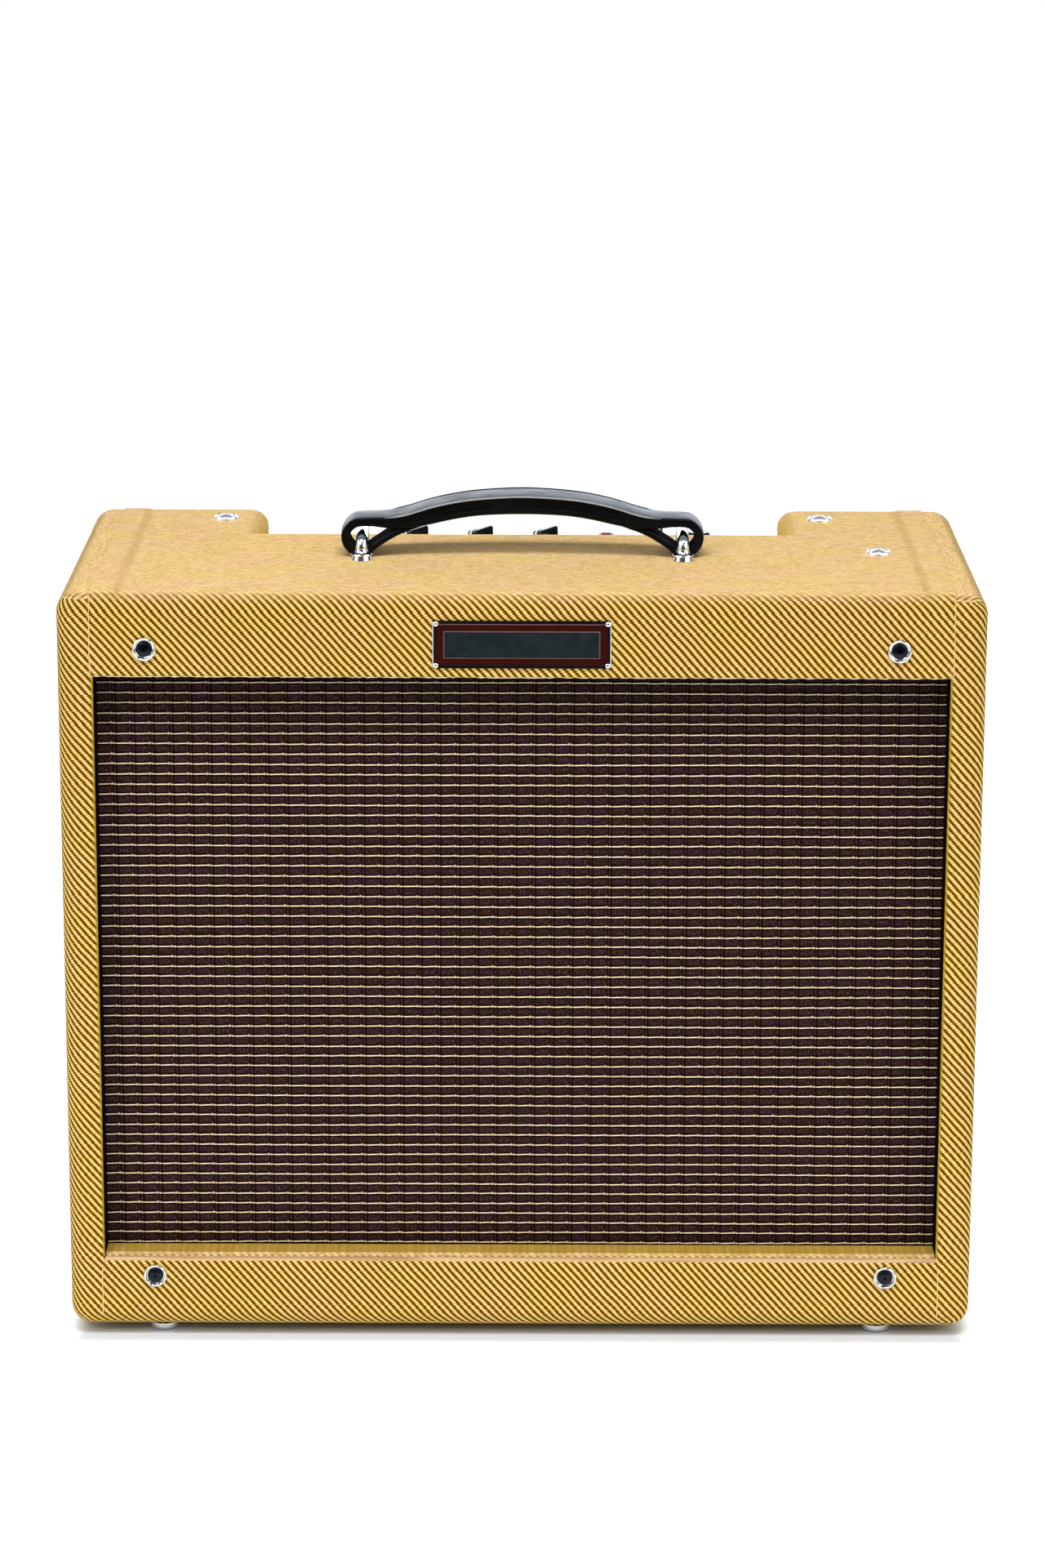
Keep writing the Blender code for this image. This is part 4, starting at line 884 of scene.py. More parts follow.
def build_seams():
    bm = bmesh.new()
    front = FRONT - 0.00015
    for sign in (-1, 1):
        x = sign * SEAM_X
        over = arc((FRONT + EDGE_R, TOP - EDGE_R), EDGE_R + 0.00025, 180, 96, 6)
        upper = [Vector((x, y, z)) for y, z in [(front, OPENING_HIGH + LIP_R)] + over]
        fray_into(bm, upper, 0.00025, 24, HAIR)
        lower = [Vector((x, front, z)) for z in (OPENING_LOW - RAIL_R, BOTTOM + 0.009)]
        fray_into(bm, lower, 0.00026, 12, HAIR)
        top_edge = [Vector((x, y, TOP + CLOTH_STEP + 0.0001)) for y in (FRONT + EDGE_R, REAR - EDGE_R)]
        fray_into(bm, top_edge, 0.00026, 60, HAIR)
        angle = radians(90 * MITRE / EDGE_STEPS)
        y = FRONT + EDGE_R - EDGE_R * cos(angle) - 0.0002
        z = TOP - EDGE_R + EDGE_R * sin(angle)
        corner = Vector((sign * (HALF_W - EDGE_R + 0.0075), y + 0.0033, z + 0.0002))
        mitre = [Vector((x, y, z + 0.0006)), Vector((sign * (HALF_W - EDGE_R), y, z + 0.0001)), corner]
        fray_into(bm, mitre, 0.00032, 46, 0.0012)
    piece("seam_threads", bm, FRAY, 60, "tweed")
    # A pale tube under the opening's upper lip: painted highlight along the fold.
    bm = bmesh.new()
    y, z = arc((FRONT + LIP_R, OPENING_HIGH + LIP_R), LIP_R - 0.0001, 180, 262, 2)[2]
    fray_into(bm, [Vector((-OPENING_HALF_W, y, z)), Vector((OPENING_HALF_W, y, z))], 0.00055, 0, 0.0)
    piece("opening_lip_highlight", bm, LIP_HIGHLIGHT, 60, "tweed")


build_seams()


# ---- Grille cloth ----
def build_grille():
    low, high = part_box("grille_cloth")
    bm = bmesh.new()
    xs = spread(low.x, high.x, 60)
    zs = spread(low.z, high.z, 50)

    def bulge(x, z):
        return 0.0003 * sin(x * 41.0) * sin(z * 33.0 + 1.0)

    strip_into(bm, [[(x, low.y + 0.0004 + bulge(x, z), z) for x in xs] for z in zs])
    cloth = mesh_object("grille_weave", bm, GRILLE_WEAVE, 60)
    keep(cloth, "grille_cloth", replaces="grille_cloth")

    cords = bmesh.new()
    periods = int(2 * OPENING_HALF_W / KNOT_PITCH) + 4
    shape = (
        (-0.5, 0.48, -0.02),
        (-0.28, 0.47, 0.05),
        (-0.155, 0.42, 0.13),
        (TIE_FIRST, 0.96, 0.16),
        (0.0, 0.36, 0.06),
        (TIE_SECOND, 0.66, -0.02),
        (0.155, 0.34, -0.09),
        (0.28, 0.47, -0.11),
    )
    count = int((OPENING_HIGH + 0.003 - CORD_FIRST) / CORD_PITCH) + 1
    for n in range(count):
        z = CORD_FIRST + n * CORD_PITCH
        slow = rng.uniform(0, 2 * pi)
        points, radii = [], []
        for k in range(-(periods // 2), periods // 2 + 1):
            for t, r, lift in shape:
                x = (k + t) * KNOT_PITCH + KNOT_SHIFT
                if abs(x) > SEAM_X:
                    continue
                wander = 0.0002 * sin(x * 17.0 + slow) + rng.uniform(-0.00005, 0.00005)
                points.append(Vector((x, low.y + bulge(x, z) - 0.0001, z + lift * 0.001 + wander)))
                radii.append(r * 0.001 * rng.uniform(0.93, 1.08))
        tube_into(cords, points, radii, 4, Vector((0, 0, 1)))
    raised = piece("grille_cords", cords, CORD_THREAD, 120, "grille_cloth")


build_grille()


# ---- Screws, washers, plate and feet ----
def cross_recess(obj, radius, depth, place):
    """Sinks a tapered cross into a screw's head."""
    bm = bmesh.new()
    for turn in (0.0, pi / 2):
        part = bmesh.new()
        box_into(part, (-radius, -radius * 0.24, -depth), (radius, radius * 0.24, depth * 4))
        for v in part.verts:
            if v.co.z < 0:
                v.co.x *= 0.35
                v.co.y *= 0.55
        merge_into(bm, part, place @ Matrix.Rotation(turn, 4, "Z"))
    cutter = mesh_object("cutter", bm, BLACK_OXIDE)
    sink = obj.modifiers.new("recess", "BOOLEAN")
    sink.operation = "DIFFERENCE"
    sink.object = cutter
    sink.use_self = True
    apply_modifiers(obj)
    bpy.data.objects.remove(cutter)


def oval_head(name, radius, dome, at, towards, material, spin):
    profile = [(0.0, -0.0006), (radius * 0.72, -0.0006), (radius, 0.0004)]
    for i in range(1, 9):
        a = pi / 2 * i / 8
        profile.append((radius * cos(a), 0.0004 + dome * sin(a)))
    profile[-1] = (0.0, 0.0004 + dome)
    obj = turned(name, profile, material, at, towards, 40)
    place = Matrix.Translation(at) @ AIM[towards] @ Matrix.Rotation(spin, 4, "Z")
    top = place @ Matrix.Translation((0, 0, 0.0004 + dome))
    cross_recess(obj, radius * 0.56, 0.0016, top)
    obj.data.shade_smooth()
    obj.data.set_sharp_from_angle(angle=radians(35))
    return obj


def cup_profile(outer, inner, height):
    """Pressed cup washer: a rolled rim that dips to the screw."""
    profile = [(outer, 0.0), (outer, height * 0.3)]
    ring = (outer + inner) / 2 + (outer - inner) * 0.12
    half = outer - ring
    for i in range(1, 9):
        a = pi * i / 8
        x = ring + half * cos(a)
        profile.append((x, height * 0.3 + height * 0.7 * sin(a)))
    profile += [(inner, height * 0.16), (inner * 0.8, 0.0)]
    return profile


def node_centre(node):
    low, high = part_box(node)
    return (low + high) / 2


def screw_set(name, n, at, towards, cup, height, head, dome, metal, head_metal, spin, covers=(None, None)):
    """A cup washer and its oval-head screw; covers names the nodes that they replace."""
    sides = 40 if towards == "+Y" else 56
    washer = turned(f"{name}_washer_{n}", cup_profile(*cup, height), metal, at, towards, sides)
    keep(washer, "chrome", replaces=covers[0])
    screw = oval_head(f"{name}_screw_{n}", head, dome, at, towards, head_metal, spin)
    keep(screw, "black_steel" if head_metal is BLACK_OXIDE else "chrome", replaces=covers[1])


SMALL_CUP = (0.0066, 0.0044)  # outer and inner radius
SMALL_HEAD = (0.0043, 0.0012)  # radius and dome height
LARGE_CUP = (0.0071, 0.0046)
LARGE_HEAD = (0.005, 0.003)


def build_screws():
    for i, spin in enumerate((0.1, 0.5, 0.0, 0.3), start=1):
        covers = (f"cup_washer_{i}", f"baffle_screw_{i}")
        centre = node_centre(covers[0])
        at = (centre.x, FRONT - 0.0001, centre.z)
        screw_set("front", i, at, "-Y", SMALL_CUP, 0.0021, *SMALL_HEAD, NICKEL, BLACK_OXIDE, spin, covers)
    for i, spin in enumerate((0.1, -0.2, 0.05), start=1):
        covers = (None, f"chassis_screw_{i}")
        centre = node_centre(covers[1])
        at = (centre.x, centre.y, TOP)
        metals = (SATIN_CHROME, SATIN_CHROME)
        screw_set("top", i, at, "+Z", LARGE_CUP, 0.0024, *LARGE_HEAD, *metals, spin, covers)


def build_plate():
    """Plain enamelled plate in a black frame, with a slate bar, bright side edges and four pins."""
    low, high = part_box("name_plate")
    back = FRONT - 0.0002
    face = back - 0.0009
    middle = (low + high) / 2
    half = (high - low) / 2
    outline = make_grained("plate_outline", (0.17, 0.105, 0.1), 0.6, specular=0.1)
    shades = (0.0075, 0.0125, 0.0155), (0.0125, 0.018, 0.0215)
    slate = make_speckled("plate_slate", *shades, 0.6, 220.0, 0.08)
    black, brown = "black_plastic", "brown_enamel"
    for name, material, slot, wide, tall, up, proud, rear, bevel in (
        ("base", BLACK_INK, black, half.x, half.z, 0.0, 0.0, back, 0.0004),
        ("line", BLACK_INK, black, half.x - 0.001, half.z - 0.001, 0.0, 0.0003, face + 0.0002, 0.00015),
        ("field", ENAMEL, brown, half.x - 0.0019, half.z - 0.0019, 0.0, 0.0005, face, 0.00015),
        ("crest_line", outline, brown, half.x - 0.003, 0.0002, half.z - 0.0019, 0.0006, face, 0.0001),
        ("bar_outline", outline, brown, 0.0426, 0.0076, 0.0, 0.0009, face - 0.0001, 0.0003),
        ("bar", slate, brown, 0.0422, 0.0072, 0.0, 0.0011, face - 0.0001, 0.0003),
    ):
        z = middle.z + up
        bm = bmesh.new()
        box_into(bm, (middle.x - wide, face - proud, z - tall), (middle.x + wide, rear, z + tall), bevel)
        piece(f"plate_{name}", bm, material, 30, slot, replaces="name_plate" if name == "base" else None)
    dome = [(0.0015, 0.0), (0.0015, 0.0003)]
    dome += [(0.0015 * cos(a), 0.0003 + 0.0009 * sin(a)) for a in (0.4, 0.8, 1.2)]
    dome += [(0.0, 0.0012)]
    pins = bmesh.new()
    edges = bmesh.new()
    for side in (-1, 1):
        for end in (-1, 1):
            at = (middle.x + side * (half.x - 0.0017), face - 0.0001, middle.z + end * (half.z - 0.0017))
            revolve(pins, dome, 20, Matrix.Translation(at) @ AIM["-Y"])
        x = low.x - 0.00005 if side < 0 else high.x - 0.0004
        end = (x + 0.00045, face + 0.0006, high.z - 0.0006)
        box_into(edges, (x, face - 0.0001, low.z + 0.0006), end, 0.0001)
    piece("plate_pins", pins, CHROME, 50, "chrome")
    bright = make_grained("plate_bright_edge", (0.74, 0.74, 0.76), 0.35)
    piece("plate_bright_edge", edges, bright, 30, "chrome")


def build_feet():
    for i in range(1, 5):
        centre = node_centre(f"foot_{i}")
        at = (centre.x, centre.y, 0.0)
        profile = mm(0, 0, 5, 0, 7.2, 0.5, 8.4, 1.4, 9, 2.6, 9.2, 3.8)
        profile += [(0.0092, BOTTOM - 0.0002), (0.0, BOTTOM - 0.0002)]
        keep(turned(f"glide_{i}", profile, NICKEL, at, "+Z", 56), "chrome", replaces=f"foot_{i}")


build_screws()
build_plate()
build_feet()


# ---- Handle ----
HANDLE_LOW, HANDLE_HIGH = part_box("handle_grip")
HANDLE_Y = (HANDLE_LOW.y + HANDLE_HIGH.y) / 2
STRAP_HALF = 0.0138
STRAP_T = 0.005  # over the grip
LOOP_T = 0.0038  # under the bails
FLAP_T = 0.0034  # where it returns under the grip
LOOP_X = 0.091
LOOP_Z = TOP + 0.0114
LOOP_R = 0.011  # to the outside of the loops
GRIP_TOP = mm(0, 35.4, 22, 34.3, 37, 32.4, 51.5, 29.2, 65, 25, 74.5, 23.2, 83.5, 22.7)
GRIP_UNDER = mm(
    0, 24.9, 22, 24.2, 37, 22.2, 51.5, 19, 58, 17.8, 64, 17.1, 70, 16.8, 76, 16.8, 80.2, 17.2, 84, 17.7
)
FLAP = mm(82.7, 6.6, 79.4, 8.9, 72.8, 13, 67, 15.7, 60, 18.3, 54, 20.6)


def smooth_path(points, per_span):
    """Points on a smooth curve through the given ones."""
    out = []
    for i in range(len(points) - 1):
        a = points[max(i - 1, 0)]
        b, c = points[i], points[i + 1]
        d = points[min(i + 2, len(points) - 1)]
        for k in range(per_span):
            t = k / per_span
            square = (2 * a - 5 * b + 4 * c - d) * t**2
            cube = (3 * b - a - 3 * c + d) * t**3
            out.append(0.5 * ((2 * b) + (c - a) * t + square + cube))
    out.append(points[-1])
    return out


def dense(table):
    """A mirrored curve's right half with small smooth steps between its points."""
    line = [Vector((-x, 0, z)) for x, z in reversed(table[1:])] + [Vector((x, 0, z)) for x, z in table]
    return [(p.x, p.z) for p in smooth_path(line, 6) if p.x > -1e-9]


TOP_CURVE = dense(GRIP_TOP)
UNDER_CURVE = dense(GRIP_UNDER)


def strap_line():
    """Middle line of the strap from return to return, with its thickness as Y."""
    half = [Vector((x, STRAP_T, TOP + z - STRAP_T / 2)) for x, z in GRIP_TOP]
    loop = []
    outside = arc((LOOP_X, LOOP_Z), LOOP_R, 82, -112, 9)
    for (x, z), (out_x, out_z) in zip(arc((0, 0), 1.0, 82, -112, 9), outside):
        inward = loop_thickness(out_z) / 2
        loop.append(Vector((out_x - x * inward, 2 * inward, out_z - z * inward)))
    back = [Vector((x, FLAP_T, TOP + z)) for x, z in FLAP]
    right = half + loop + back
    left = [Vector((-p.x, p.y, p.z)) for p in reversed(right[1:])]
    return smooth_path(left + right, 4)


def loop_thickness(z):
    """The strap thins from the top of its loops to their underside."""
    up = min(max((z - TOP) / 0.016, 0.0), 1.0)
    return LOOP_T + (STRAP_T - LOOP_T) * up


def strap_half(x):
    """Half the strap's width, which narrows from the grip to the loops."""
    beyond = min(max((abs(x) - 0.066) / 0.016, 0.0), 1.0)
    return STRAP_HALF - 0.0022 * beyond


def strap_section(half_width, thickness):
    """Outline of the strap's section as (across, up): a slight crown and rounded edges."""
    r = 0.0011
    outline = []
    corners = ((1, 1, 0), (-1, 1, 90), (-1, -1, 180), (1, -1, 270))
    for sx, sz, start in corners:
        centre = (sx * (half_width - r), sz * (thickness / 2 - r))
        outline += arc(centre, r, start, start + 90, 4)
        if (sx, sz) == (1, 1):
            outline += [(x * half_width * 0.35, thickness / 2 + 0.00035) for x in (1, -1)]
    return outline


def sweep_into(bm, path, section_at, inner=None):
    """Sweeps a section, given for each point, along a path seen from the front."""
    rings = []
    for i, point in enumerate(path):
        along = path[min(i + 1, len(path) - 1)] - path[max(i - 1, 0)]
        along = Vector((along.x, 0, along.z)).normalized()
        up = Vector((-along.z, 0, along.x))
        places = [(point.x + b * up.x, HANDLE_Y + a, point.z + b * up.z) for a, b in section_at(point)]
        rings.append([bm.verts.new(place) for place in places])
    join_rings(bm, rings, inner)


def curve_at(table, x):
    """Height of a mirrored curve at x, read from (x, height) points."""
    x = abs(x)
    for (x0, z0), (x1, z1) in zip(table, table[1:]):
        if x <= x1:
            t = (x - x0) / (x1 - x0)
            return z0 + (z1 - z0) * t
    return table[-1][1]


def edge_rod(bm, side, curve, reach, up, in_by, radius, fade, sides):
    """A rod along one edge of the grip, thinner at its ends.

    `fade` is the ends' share of the radius and the length over which it grows.
    """
    line = []
    for x in spread(-reach, reach, round(reach * 1000)):
        y = HANDLE_Y + side * (strap_half(x) - in_by)
        line.append(Vector((x, y, TOP + curve_at(curve, x) + up)))
    radii = [radius * min(1.0, fade[0] + (reach - abs(p.x)) / fade[1]) for p in line]
    tube_into(bm, line, radii, sides, Vector((0, 1, 0)))


def build_handle():
    line = strap_line()

    def strap_at(point):
        returns = point.y < (LOOP_T + STRAP_T) / 2
        return strap_section(strap_half(LOOP_X if returns else point.x), point.y)

    bm = bmesh.new()
    sweep_into(bm, line, strap_at, 16)
    piece("handle_strap", bm, (LEATHER, SUEDE), 60, "black_leather", "handle", "handle_grip")

    def core_at(point):
        top = TOP + curve_at(TOP_CURVE, point.x) - STRAP_T + 0.0006
        under = min(TOP + curve_at(UNDER_CURVE, point.x), top - 0.0004)
        half = strap_half(point.x) - 0.0004
        r = min(0.0036, (top - under) * 0.45)
        outline = arc((half - r, under + r), r, 0, -90, 6) + arc((-half + r, under + r), r, -90, -180, 6)
        return outline + [(-half, top), (half, top)]

    bm = bmesh.new()
    sweep_into(bm, [Vector((x, 0, 0)) for x in spread(-0.0836, 0.0836, 80)], core_at)
    piece("handle_core", bm, LEATHER, 50, "black_leather", "handle")

    welts = bmesh.new()
    for name, side, bead_r, in_by, material in (
        # The front bead carries a painted highlight, the rear bead painted shade.
        ("handle_bead_front", -1, 0.0005, 0.0003, BEAD_HIGHLIGHT),
        ("handle_bead_rear", 1, 0.0009, 0.00055, REAR_BEAD_SHADE),
    ):
        bm = bmesh.new()
        edge_rod(bm, side, TOP_CURVE, 0.078, -in_by, in_by, bead_r, (0.15, 0.01), 8)
        piece(name, bm, material, 60, "black_leather", "handle")
        edge_rod(welts, side, UNDER_CURVE, 0.07, 0.0031, 0.0005, 0.0003, (0.1, 0.012), 6)
    piece("handle_welts", welts, LEATHER, 60, "black_leather", "handle")


BAIL_ROD = 0.00335
BAIL_BEND = 0.0046


def build_bails():
    ferrule = mm(0, 0.1, 5.4, 0.1, 5.6, 0.3, 4.9, 2.7, 5.7, 2.9, 5.95, 3.3, 5.8, 3.7, 5.2, 4, 4.4, 4.3)
    ferrule += mm(3.9, 4.8, 3.6, 5.5, 3.35, 6.6, 0, 6.6)
    nut = mm(0, 0, 5.5, 0, 5.5, 3.5, 0, 3.5)
    for name in ("handle_bail_left", "handle_bail_right"):
        low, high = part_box(name)
        x = (low.x + high.x) / 2
        middle = (low.y + high.y) / 2
        reach = 0.018
        bar = high.z - BAIL_ROD
        rear_bend = (middle + reach - BAIL_BEND, bar - BAIL_BEND)
        line = [(middle - reach, low.z), (middle - reach, TOP - 0.002)]
        line += arc((middle - reach + BAIL_BEND, bar - BAIL_BEND), BAIL_BEND, 180, 90, 12)
        line += arc(rear_bend, BAIL_BEND, 90, 0, 12)
        line += [(middle + reach, TOP - 0.002), (middle + reach, low.z)]
        path = [Vector((x, y, z)) for y, z in line]
        bm = bmesh.new()
        tube_into(bm, path, [BAIL_ROD] * len(path), 28)
        for y in (middle - reach, middle + reach):
            revolve(bm, ferrule, 40, Matrix.Translation((x, y, TOP)))
            revolve(bm, nut, 6, Matrix.Translation((x, y, TOP - BOARD - 0.0045)))
        side = name.rsplit("_", 1)[1]
        piece(f"bail_{side}", bm, CHROME, 40, "chrome", replaces=name)


build_handle()
build_bails()


# ---- Controls ----
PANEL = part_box("chassis")[1].z
KNOB_TURN = 58.0  # degrees from -X towards the front, where the pointers rest
KNOB_SEAT = 0.0041  # underside of the skirt, above the panel
KNOB_TALL = 0.0121  # from there to the crest
BEAK = 0.0118  # the bar's reach from the knob's axis to its tip
TAIL = 0.0078
TAIL_HALF = 0.0034
TIP_HALF = 0.0027
CREST_SLOPE = 0.03


def build_knob(number):
    """Pointer knob: a round skirt under a tapering bar whose flat crest carries a white line."""
    pot = node_centre(f"potentiometer_{number}")
    turn = Matrix.Rotation(radians(KNOB_TURN), 4, "Z")
    place = Matrix.Translation((pot.x, pot.y, PANEL + KNOB_SEAT)) @ turn
    bm = bmesh.new()
    revolve(bm, mm(0, 0, 9, 0, 9.3, 0.4, 9.2, 2.6, 8.7, 3.4, 7.8, 4, 0, 4.4), 48)
    corner = 0.0014
    plan = []
    for i, half in enumerate((-TAIL_HALF, TAIL_HALF, TIP_HALF, -TIP_HALF)):
        x = TAIL - corner if i < 2 else corner - BEAK
        start = 90 * i - 90
        plan += arc((x, half - copysign(corner, half)), corner, start, start + 90, 5)
    rings = []
    for i, (inset, drop) in enumerate(mm(-0.9, 0, -0.1, 1.3, 0, 0.9, 0.2, 0.4, 0.5, 0.1, 0.9, 0)):
        ring = []
        for x, y in plan:
            crest = KNOB_TALL - CREST_SLOPE * (TAIL - x)
            height = crest - drop if i else 0.003
            along = x - copysign(inset, x)
            ring.append(bm.verts.new((along, y * (1 - inset / TIP_HALF), height)))
        rings.append(ring)
    join_rings(bm, rings)
    bmesh.ops.transform(bm, matrix=place, verts=bm.verts[:])
    name = f"knob_{number}"
    piece(f"pointer_{name}", bm, PHENOLIC, 32, "black_plastic", name, name)
    bm = bmesh.new()
    tip = KNOB_TALL - CREST_SLOPE * (TAIL + BEAK)
    ends = [(x - BEAK, tip + z) for x, z in mm(-0.2, -4.2, -0.1, -0.9, 0.8, 0.1)]
    ends += [(-0.006, KNOB_TALL - CREST_SLOPE * (TAIL + 0.006) + 0.0001)]
    tube_into(bm, [Vector((x, 0, z)) for x, z in ends], [0.00055] * 4, 8, Vector((0, 1, 0)))
    bmesh.ops.transform(bm, matrix=place, verts=bm.verts[:])
    piece(f"pointer_line_{number}", bm, WHITE_INK, 40, "black_plastic", name)


def ring_nut_into(bm, at, outer, inner, height, sides):
    profile = [(inner, 0.0), (outer, 0.0), (outer, height * 0.8), (outer * 0.9, height)]
    profile += [(inner, height), (inner, 0.0)]
    revolve(bm, profile, sides, Matrix.Translation(at))


DIAL_MARKS = 12
DIGIT_TALL = 0.0032
DIGIT_R = 0.0152


def build_dials():
    """Round scale of ticks and numbers by each control."""
    bm = bmesh.new()
    for number in (1, 2, 3):
        pot = node_centre(f"potentiometer_{number}")
        for n in range(DIAL_MARKS):
            turn = radians(60 - 300 * n / (DIAL_MARKS - 1))
            place = Matrix.Translation((pot.x, pot.y, PANEL)) @ Matrix.Rotation(turn, 4, "Z")
            part = bmesh.new()
            box_into(part, (0.0108, -0.00025, -0.0001), (0.0128, 0.00025, 0.00012))
            merge_into(bm, part, place)
            text = bpy.data.curves.new("digit", "FONT")
            text.body = str(n + 1)
            text.size = DIGIT_TALL
            text.align_x = "CENTER"
            text.align_y = "CENTER"
            text.extrude = 0.00008
            label = bpy.data.objects.new("digit", text)
            bpy.context.scene.collection.objects.link(label)
            spot = Vector((cos(turn), sin(turn), 0)) * DIGIT_R
            spot += Vector((pot.x, pot.y, PANEL + 0.00006))
            label.matrix_world = Matrix.Translation(spot) @ Matrix.Rotation(pi, 4, "Z")
            bpy.context.view_layer.update()
            graph = bpy.context.evaluated_depsgraph_get()
            shape = bpy.data.meshes.new_from_object(label.evaluated_get(graph))
            shape.transform(label.matrix_world)
            bm.from_mesh(shape)
            bpy.data.meshes.remove(shape)
            bpy.data.objects.remove(label)
    piece("dial_marks", bm, BLACK_INK, None, "black_plastic")


def build_controls():
    for number in (1, 2, 3):
        build_knob(number)
    build_dials()
    bm = bmesh.new()
    for number in (1, 2, 3):
        pot = node_centre(f"potentiometer_{number}")
        ring_nut_into(bm, (pot.x, pot.y, PANEL + 0.0003), 0.0064, 0.0047, 0.0021, 6)
    for number in (1, 2):
        jack = node_centre(f"input_jack_{number}")
        ring_nut_into(bm, (jack.x, jack.y, PANEL + 0.0003), 0.0079, 0.0048, 0.0022, 6)
    piece("panel_nuts", bm, ZINC, 30, "steel")
    jewel = node_centre("pilot_jewel")
    at = (jewel.x, jewel.y, PANEL)
    bm = bmesh.new()
    bezel = mm(6.2, 0.3, 9.8, 0.3, 9.8, 2, 9.4, 3.1, 8, 5.4, 7.2, 5.6, 6.6, 5, 6.2, 0.3)
    revolve(bm, bezel, 48, Matrix.Translation(at))
    piece("jewel_bezel", bm, CHROME, 35, "chrome")
    facets = mm(0, 3, 6.3, 3, 6.6, 6.8, 6.2, 9.6, 4.6, 12.1, 2.4, 13.3, 0, 13.5)
    stone = turned("jewel_lens", facets, JEWEL, at, "+Z", 10, smooth=5)
    keep(stone, "jewel", replaces="pilot_jewel")


build_controls()


# ---- Back: panels, their screws, and what shows inside ----
BACK_SCREW_X = 0.2275


def build_back_panels():
    for short in ("upper", "lower"):
        name = f"{short}_back_panel"
        low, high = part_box(name)
        middle = (low.z + high.z) / 2
        bm = bmesh.new()
        box_into(bm, low, high, 0.0022, 4)
        layer = bm.loops.layers.uv.new("Cloth")
        for face in bm.faces:
            for loop in face.loops:
                co = loop.vert.co
                past = (co.y - high.y) * (1.0 if co.z > middle else -1.0)
                loop[layer].uv = (-co.x, co.z + past)
        panel = mesh_object(f"{name}_cloth", bm, TWEED, 40)
        level = panel.modifiers.new("flat_faces_stay_flat", "WEIGHTED_NORMAL")
        level.keep_sharp = True
        apply_modifiers(panel)
        keep(panel, "tweed", replaces=name)
        rows = [middle + 0.018] if short == "upper" else [low.z + 0.022, high.z - 0.022]
        spots = [(x, high.y + 0.0001, z) for x in (-BACK_SCREW_X, BACK_SCREW_X) for z in rows]
        for n, at in enumerate(spots, start=1):
            metals = (NICKEL, NICKEL)
            screw_set(f"{short}_back", n, at, "+Y", SMALL_CUP, 0.0019, *SMALL_HEAD, *metals, 0.4 * n)


def build_valves():
    """Glass envelopes over their plates, with bases and getter flashes."""
    getter = make_metal("getter", (0.28, 0.27, 0.27), 0.18)
    for name in "preamp_valve_1 preamp_valve_2 power_valve_1 power_valve_2 rectifier_valve".split():
        octal = not name.startswith("preamp")
        low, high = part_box(name)
        tall = high.z - low.z - 0.0075
        wide = (high.x - low.x) / 2
        seat = high.z - 0.0085
        at = Vector(((low.x + high.x) / 2, (low.y + high.y) / 2, seat))
        base_h = 0.021 if octal else 0.0
        if octal:
            base = [(0.0, -0.0005), (wide * 0.92, -0.0005), (wide * 0.97, 0.001)]
            base += [(wide * 0.97, 0.018), (wide * 0.9, base_h), (0.0, base_h)]
            keep(turned(f"{name}_base", base, PHENOLIC, at, "-Z", 36), "black_plastic")
        r = wide * (0.985 if octal else 0.97)
        shoulder = tall - r * 0.75

        def dome(width, height, angles):
            return [(r * width * cos(a), shoulder + r * height * sin(a)) for a in angles]

        glass = [(r * 0.8, base_h - 0.001), (r, base_h + 0.006), (r, shoulder)]
        glass += dome(1.0, 0.7, (0.35, 0.7, 1.0, 1.25, 1.42))
        glass += [(r * 0.12, tall - 0.0025), (r * 0.1, tall - 0.0006), (0.0, tall)]
        envelope = turned(f"{name}_glass", glass, VALVE_GLASS, at, "-Z", 40, 60)
        keep(envelope, "valve_glass", replaces=name)
        bm = bmesh.new()
        half = r * 0.52
        ends = ((-half, -half * 0.6, 0.004 - shoulder), (half, half * 0.6, -base_h - 0.01))
        box_into(bm, *(at + Vector(end) for end in ends), 0.0012)
        for side in (-1, 1):
            rod = [at + Vector((side * half * 0.75, 0, z)) for z in (0.001 - base_h, -shoulder - 0.001)]
            tube_into(bm, rod, [0.0006, 0.0006], 8)
        disc = [(0.0, 0.0), (r * 0.8, 0.0), (r * 0.8, 0.0006), (0.0, 0.0006)]
        for z in (-base_h - 0.009, 0.0035 - shoulder):
            revolve(bm, disc, 24, Matrix.Translation(at + Vector((0, 0, z))))
        piece(f"{name}_plates", bm, PLATE_METAL, 35, "steel")
        flash = dome(0.9, 0.62, (0.75, 1.0, 1.25, 1.42))
        keep(turned(f"{name}_getter", flash, getter, at, "-Z", 32, 60), "chrome")


FINISHES = (
    (PINE_X, "top_panel bottom_panel upper_front_rail lower_front_rail"),
    (PINE_Z, "side_panel_left side_panel_right"),
    (PLYWOOD, "baffle_board"),
    (PANEL_CHROME, "chassis"),
    (ZINC, "potentiometer_1 potentiometer_2 potentiometer_3 input_jack_1 input_jack_2 speaker_frame"),
    (CHROME, "pilot_lamp_holder power_switch_body power_switch_lever"),
    (PHENOLIC, "fuse_holder fuse_cap mains_inlet"),
    (FIBRE, "circuit_board"),
    (LAMINATIONS, "power_transformer output_transformer"),
    (FERRITE, "speaker_motor"),
    (CONE_PAPER, "speaker_cone speaker_surround"),
    (RUBBER, "speaker_lead"),
)


def finish_nodes():
    for material, nodes in FINISHES:
        for node in nodes.split():
            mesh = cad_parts[node].data
            mesh.materials.clear()
            mesh.materials.append(material)


build_back_panels()
build_valves()
finish_nodes()


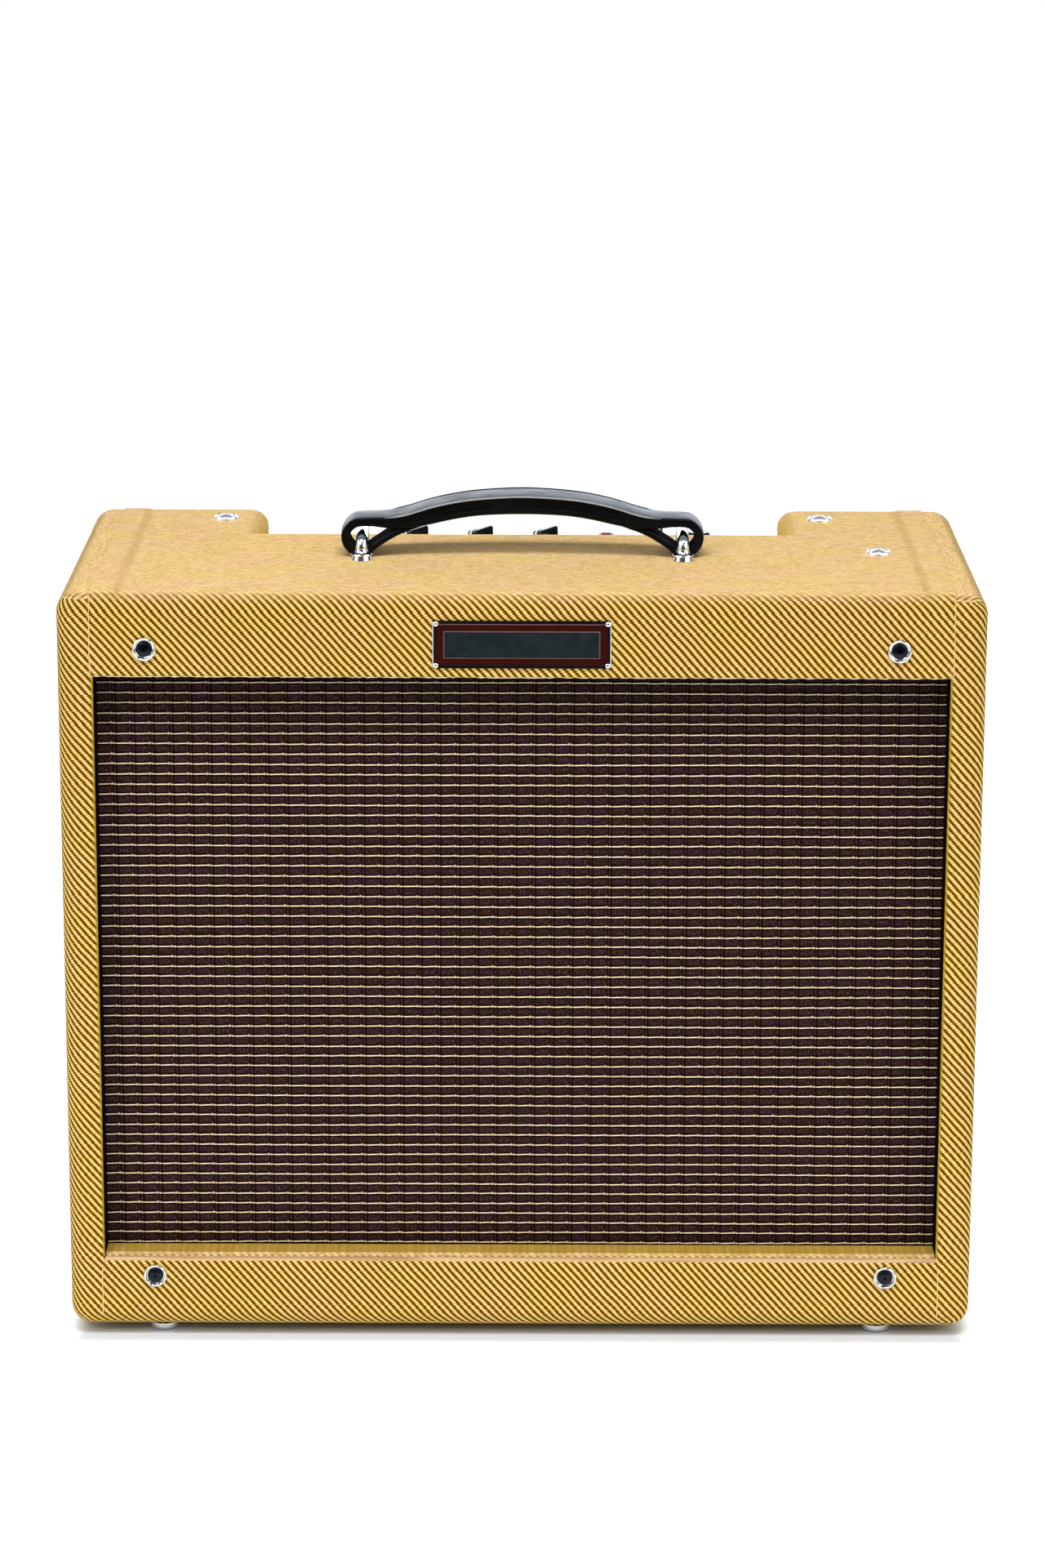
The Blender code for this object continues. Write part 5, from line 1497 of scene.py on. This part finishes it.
# ---- Stage, light and camera ----
KEY_POWER = 26.5
FILL_POWER = 10.5
OVERHEAD_POWER = 39.0
GLOSS_POWER = 50.0  # seen only in shiny surfaces
FLOOR_FRONT = -0.95  # the floor's front edge; behind and beside, it fades into the backdrop
FLOOR_REACH = 2.2


def build_stage():
    g = surface("floor", (0.79, 0.84, 0.91), 0.9, specular=0.1)
    x, y, _ = g.split(g.place())
    aside = abs(x) - (HALF_W - 0.01)
    before = abs(y - (FRONT + REAR) / 2) - DEPTH / 2
    away = aside.most(before)
    g.set("Emission Color", (1.0, 1.0, 1.0, 1.0))
    near_glow = g.ramp(away, 0.0, 0.018, 0.0, 0.72)
    g.set("Emission Strength", near_glow + g.ramp(away, 0.05, 0.6, 0.0, 0.45))
    bm = bmesh.new()
    size = FLOOR_REACH
    corners = ((-size, FLOOR_FRONT, 0), (size, FLOOR_FRONT, 0), (size, size, 0), (-size, size, 0))
    bm.faces.new([bm.verts.new(p) for p in corners])
    mesh_object("floor", bm, g.owner)


def area_light(name, place, target, size, power, sheen_only=False):
    data = bpy.data.lights.new(name, "AREA")
    data.shape = "RECTANGLE"
    data.size, data.size_y = size
    data.energy = power
    lamp = bpy.data.objects.new(name, data)
    lamp.visible_diffuse = not sheen_only
    aim = (Vector(target) - Vector(place)).to_track_quat("-Z", "Y").to_matrix().to_4x4()
    lamp.matrix_world = Matrix.Translation(place) @ aim
    bpy.context.scene.collection.objects.link(lamp)


def build_light():
    """A bright backdrop and a dim room in front; shiny surfaces also see bright sides.

    The camera sees plain white.
    """
    world = bpy.data.worlds.new("studio")
    bpy.context.scene.world = world
    g = Graph(world, "Background")
    x, y, z = g.split(g.node("ShaderNodeTexCoord", output="Generated"))
    glossy = g.node("ShaderNodeLightPath", output="Is Glossy Ray")
    seen = g.node("ShaderNodeLightPath", output="Is Camera Ray")
    around = g.ramp(y, 0.0, 0.88, 0.16, 1.9)
    beside = g.ramp(abs(x), 0.5, 0.8, 0.0, 1.3) * g.ramp(y, -0.05, 0.25, 1.0, 0.0)
    mirrored = g.ramp(y, 0.55, 0.92, 0.08, 3.0).most(beside)
    around = around + glossy * (mirrored - around)
    above = g.ramp(z, 0.2, 0.75)
    strength = around * (1.0 - above) + above * 0.22
    strength = strength * g.ramp(z, -0.1, 0.02, 0.25, 1.0)
    g.set("Strength", strength.most(seen))
    g.set("Color", g.mix(glossy, (1.0, 1.0, 1.0), (0.86, 0.93, 1.0)))
    centre = (0.0, 0.0, 0.25)
    area_light("key", (-1.3, -2.2, 2.3), centre, (1.3, 1.3), KEY_POWER)
    area_light("fill", (1.8, -2.0, 1.5), centre, (1.4, 1.4), FILL_POWER)
    area_light("overhead", (0.0, -1.2, 2.45), centre, (1.5, 0.55), OVERHEAD_POWER)
    for side in (-1, 1):
        area_light(f"gloss_{side}", (side * 2.5, -0.8, 1.95), centre, (1.6, 1.1), GLOSS_POWER, True)
    view = bpy.context.scene.view_settings
    view.view_transform = "Standard"
    view.look = "None"


CAMERA_PITCH = 14.491
CAMERA_YAW = 0.091
CAMERA_ROLL = 0.159
CAMERA_LENS = 104.46
CAMERA_AT = (0.00441, FRONT - 2.41207, BOTTOM + 0.94184)


def build_camera():
    data = bpy.data.cameras.new("camera")
    data.lens = CAMERA_LENS
    data.sensor_width = 36.0
    camera = bpy.data.objects.new("camera", data)
    aim = Matrix.Rotation(radians(CAMERA_YAW), 4, "Z")
    aim = aim @ Matrix.Rotation(radians(90 - CAMERA_PITCH), 4, "X")
    aim = aim @ Matrix.Rotation(radians(CAMERA_ROLL), 4, "Z")
    camera.matrix_world = Matrix.Translation(CAMERA_AT) @ aim
    bpy.context.scene.collection.objects.link(camera)
    bpy.context.scene.camera = camera


build_stage()
build_light()
build_camera()
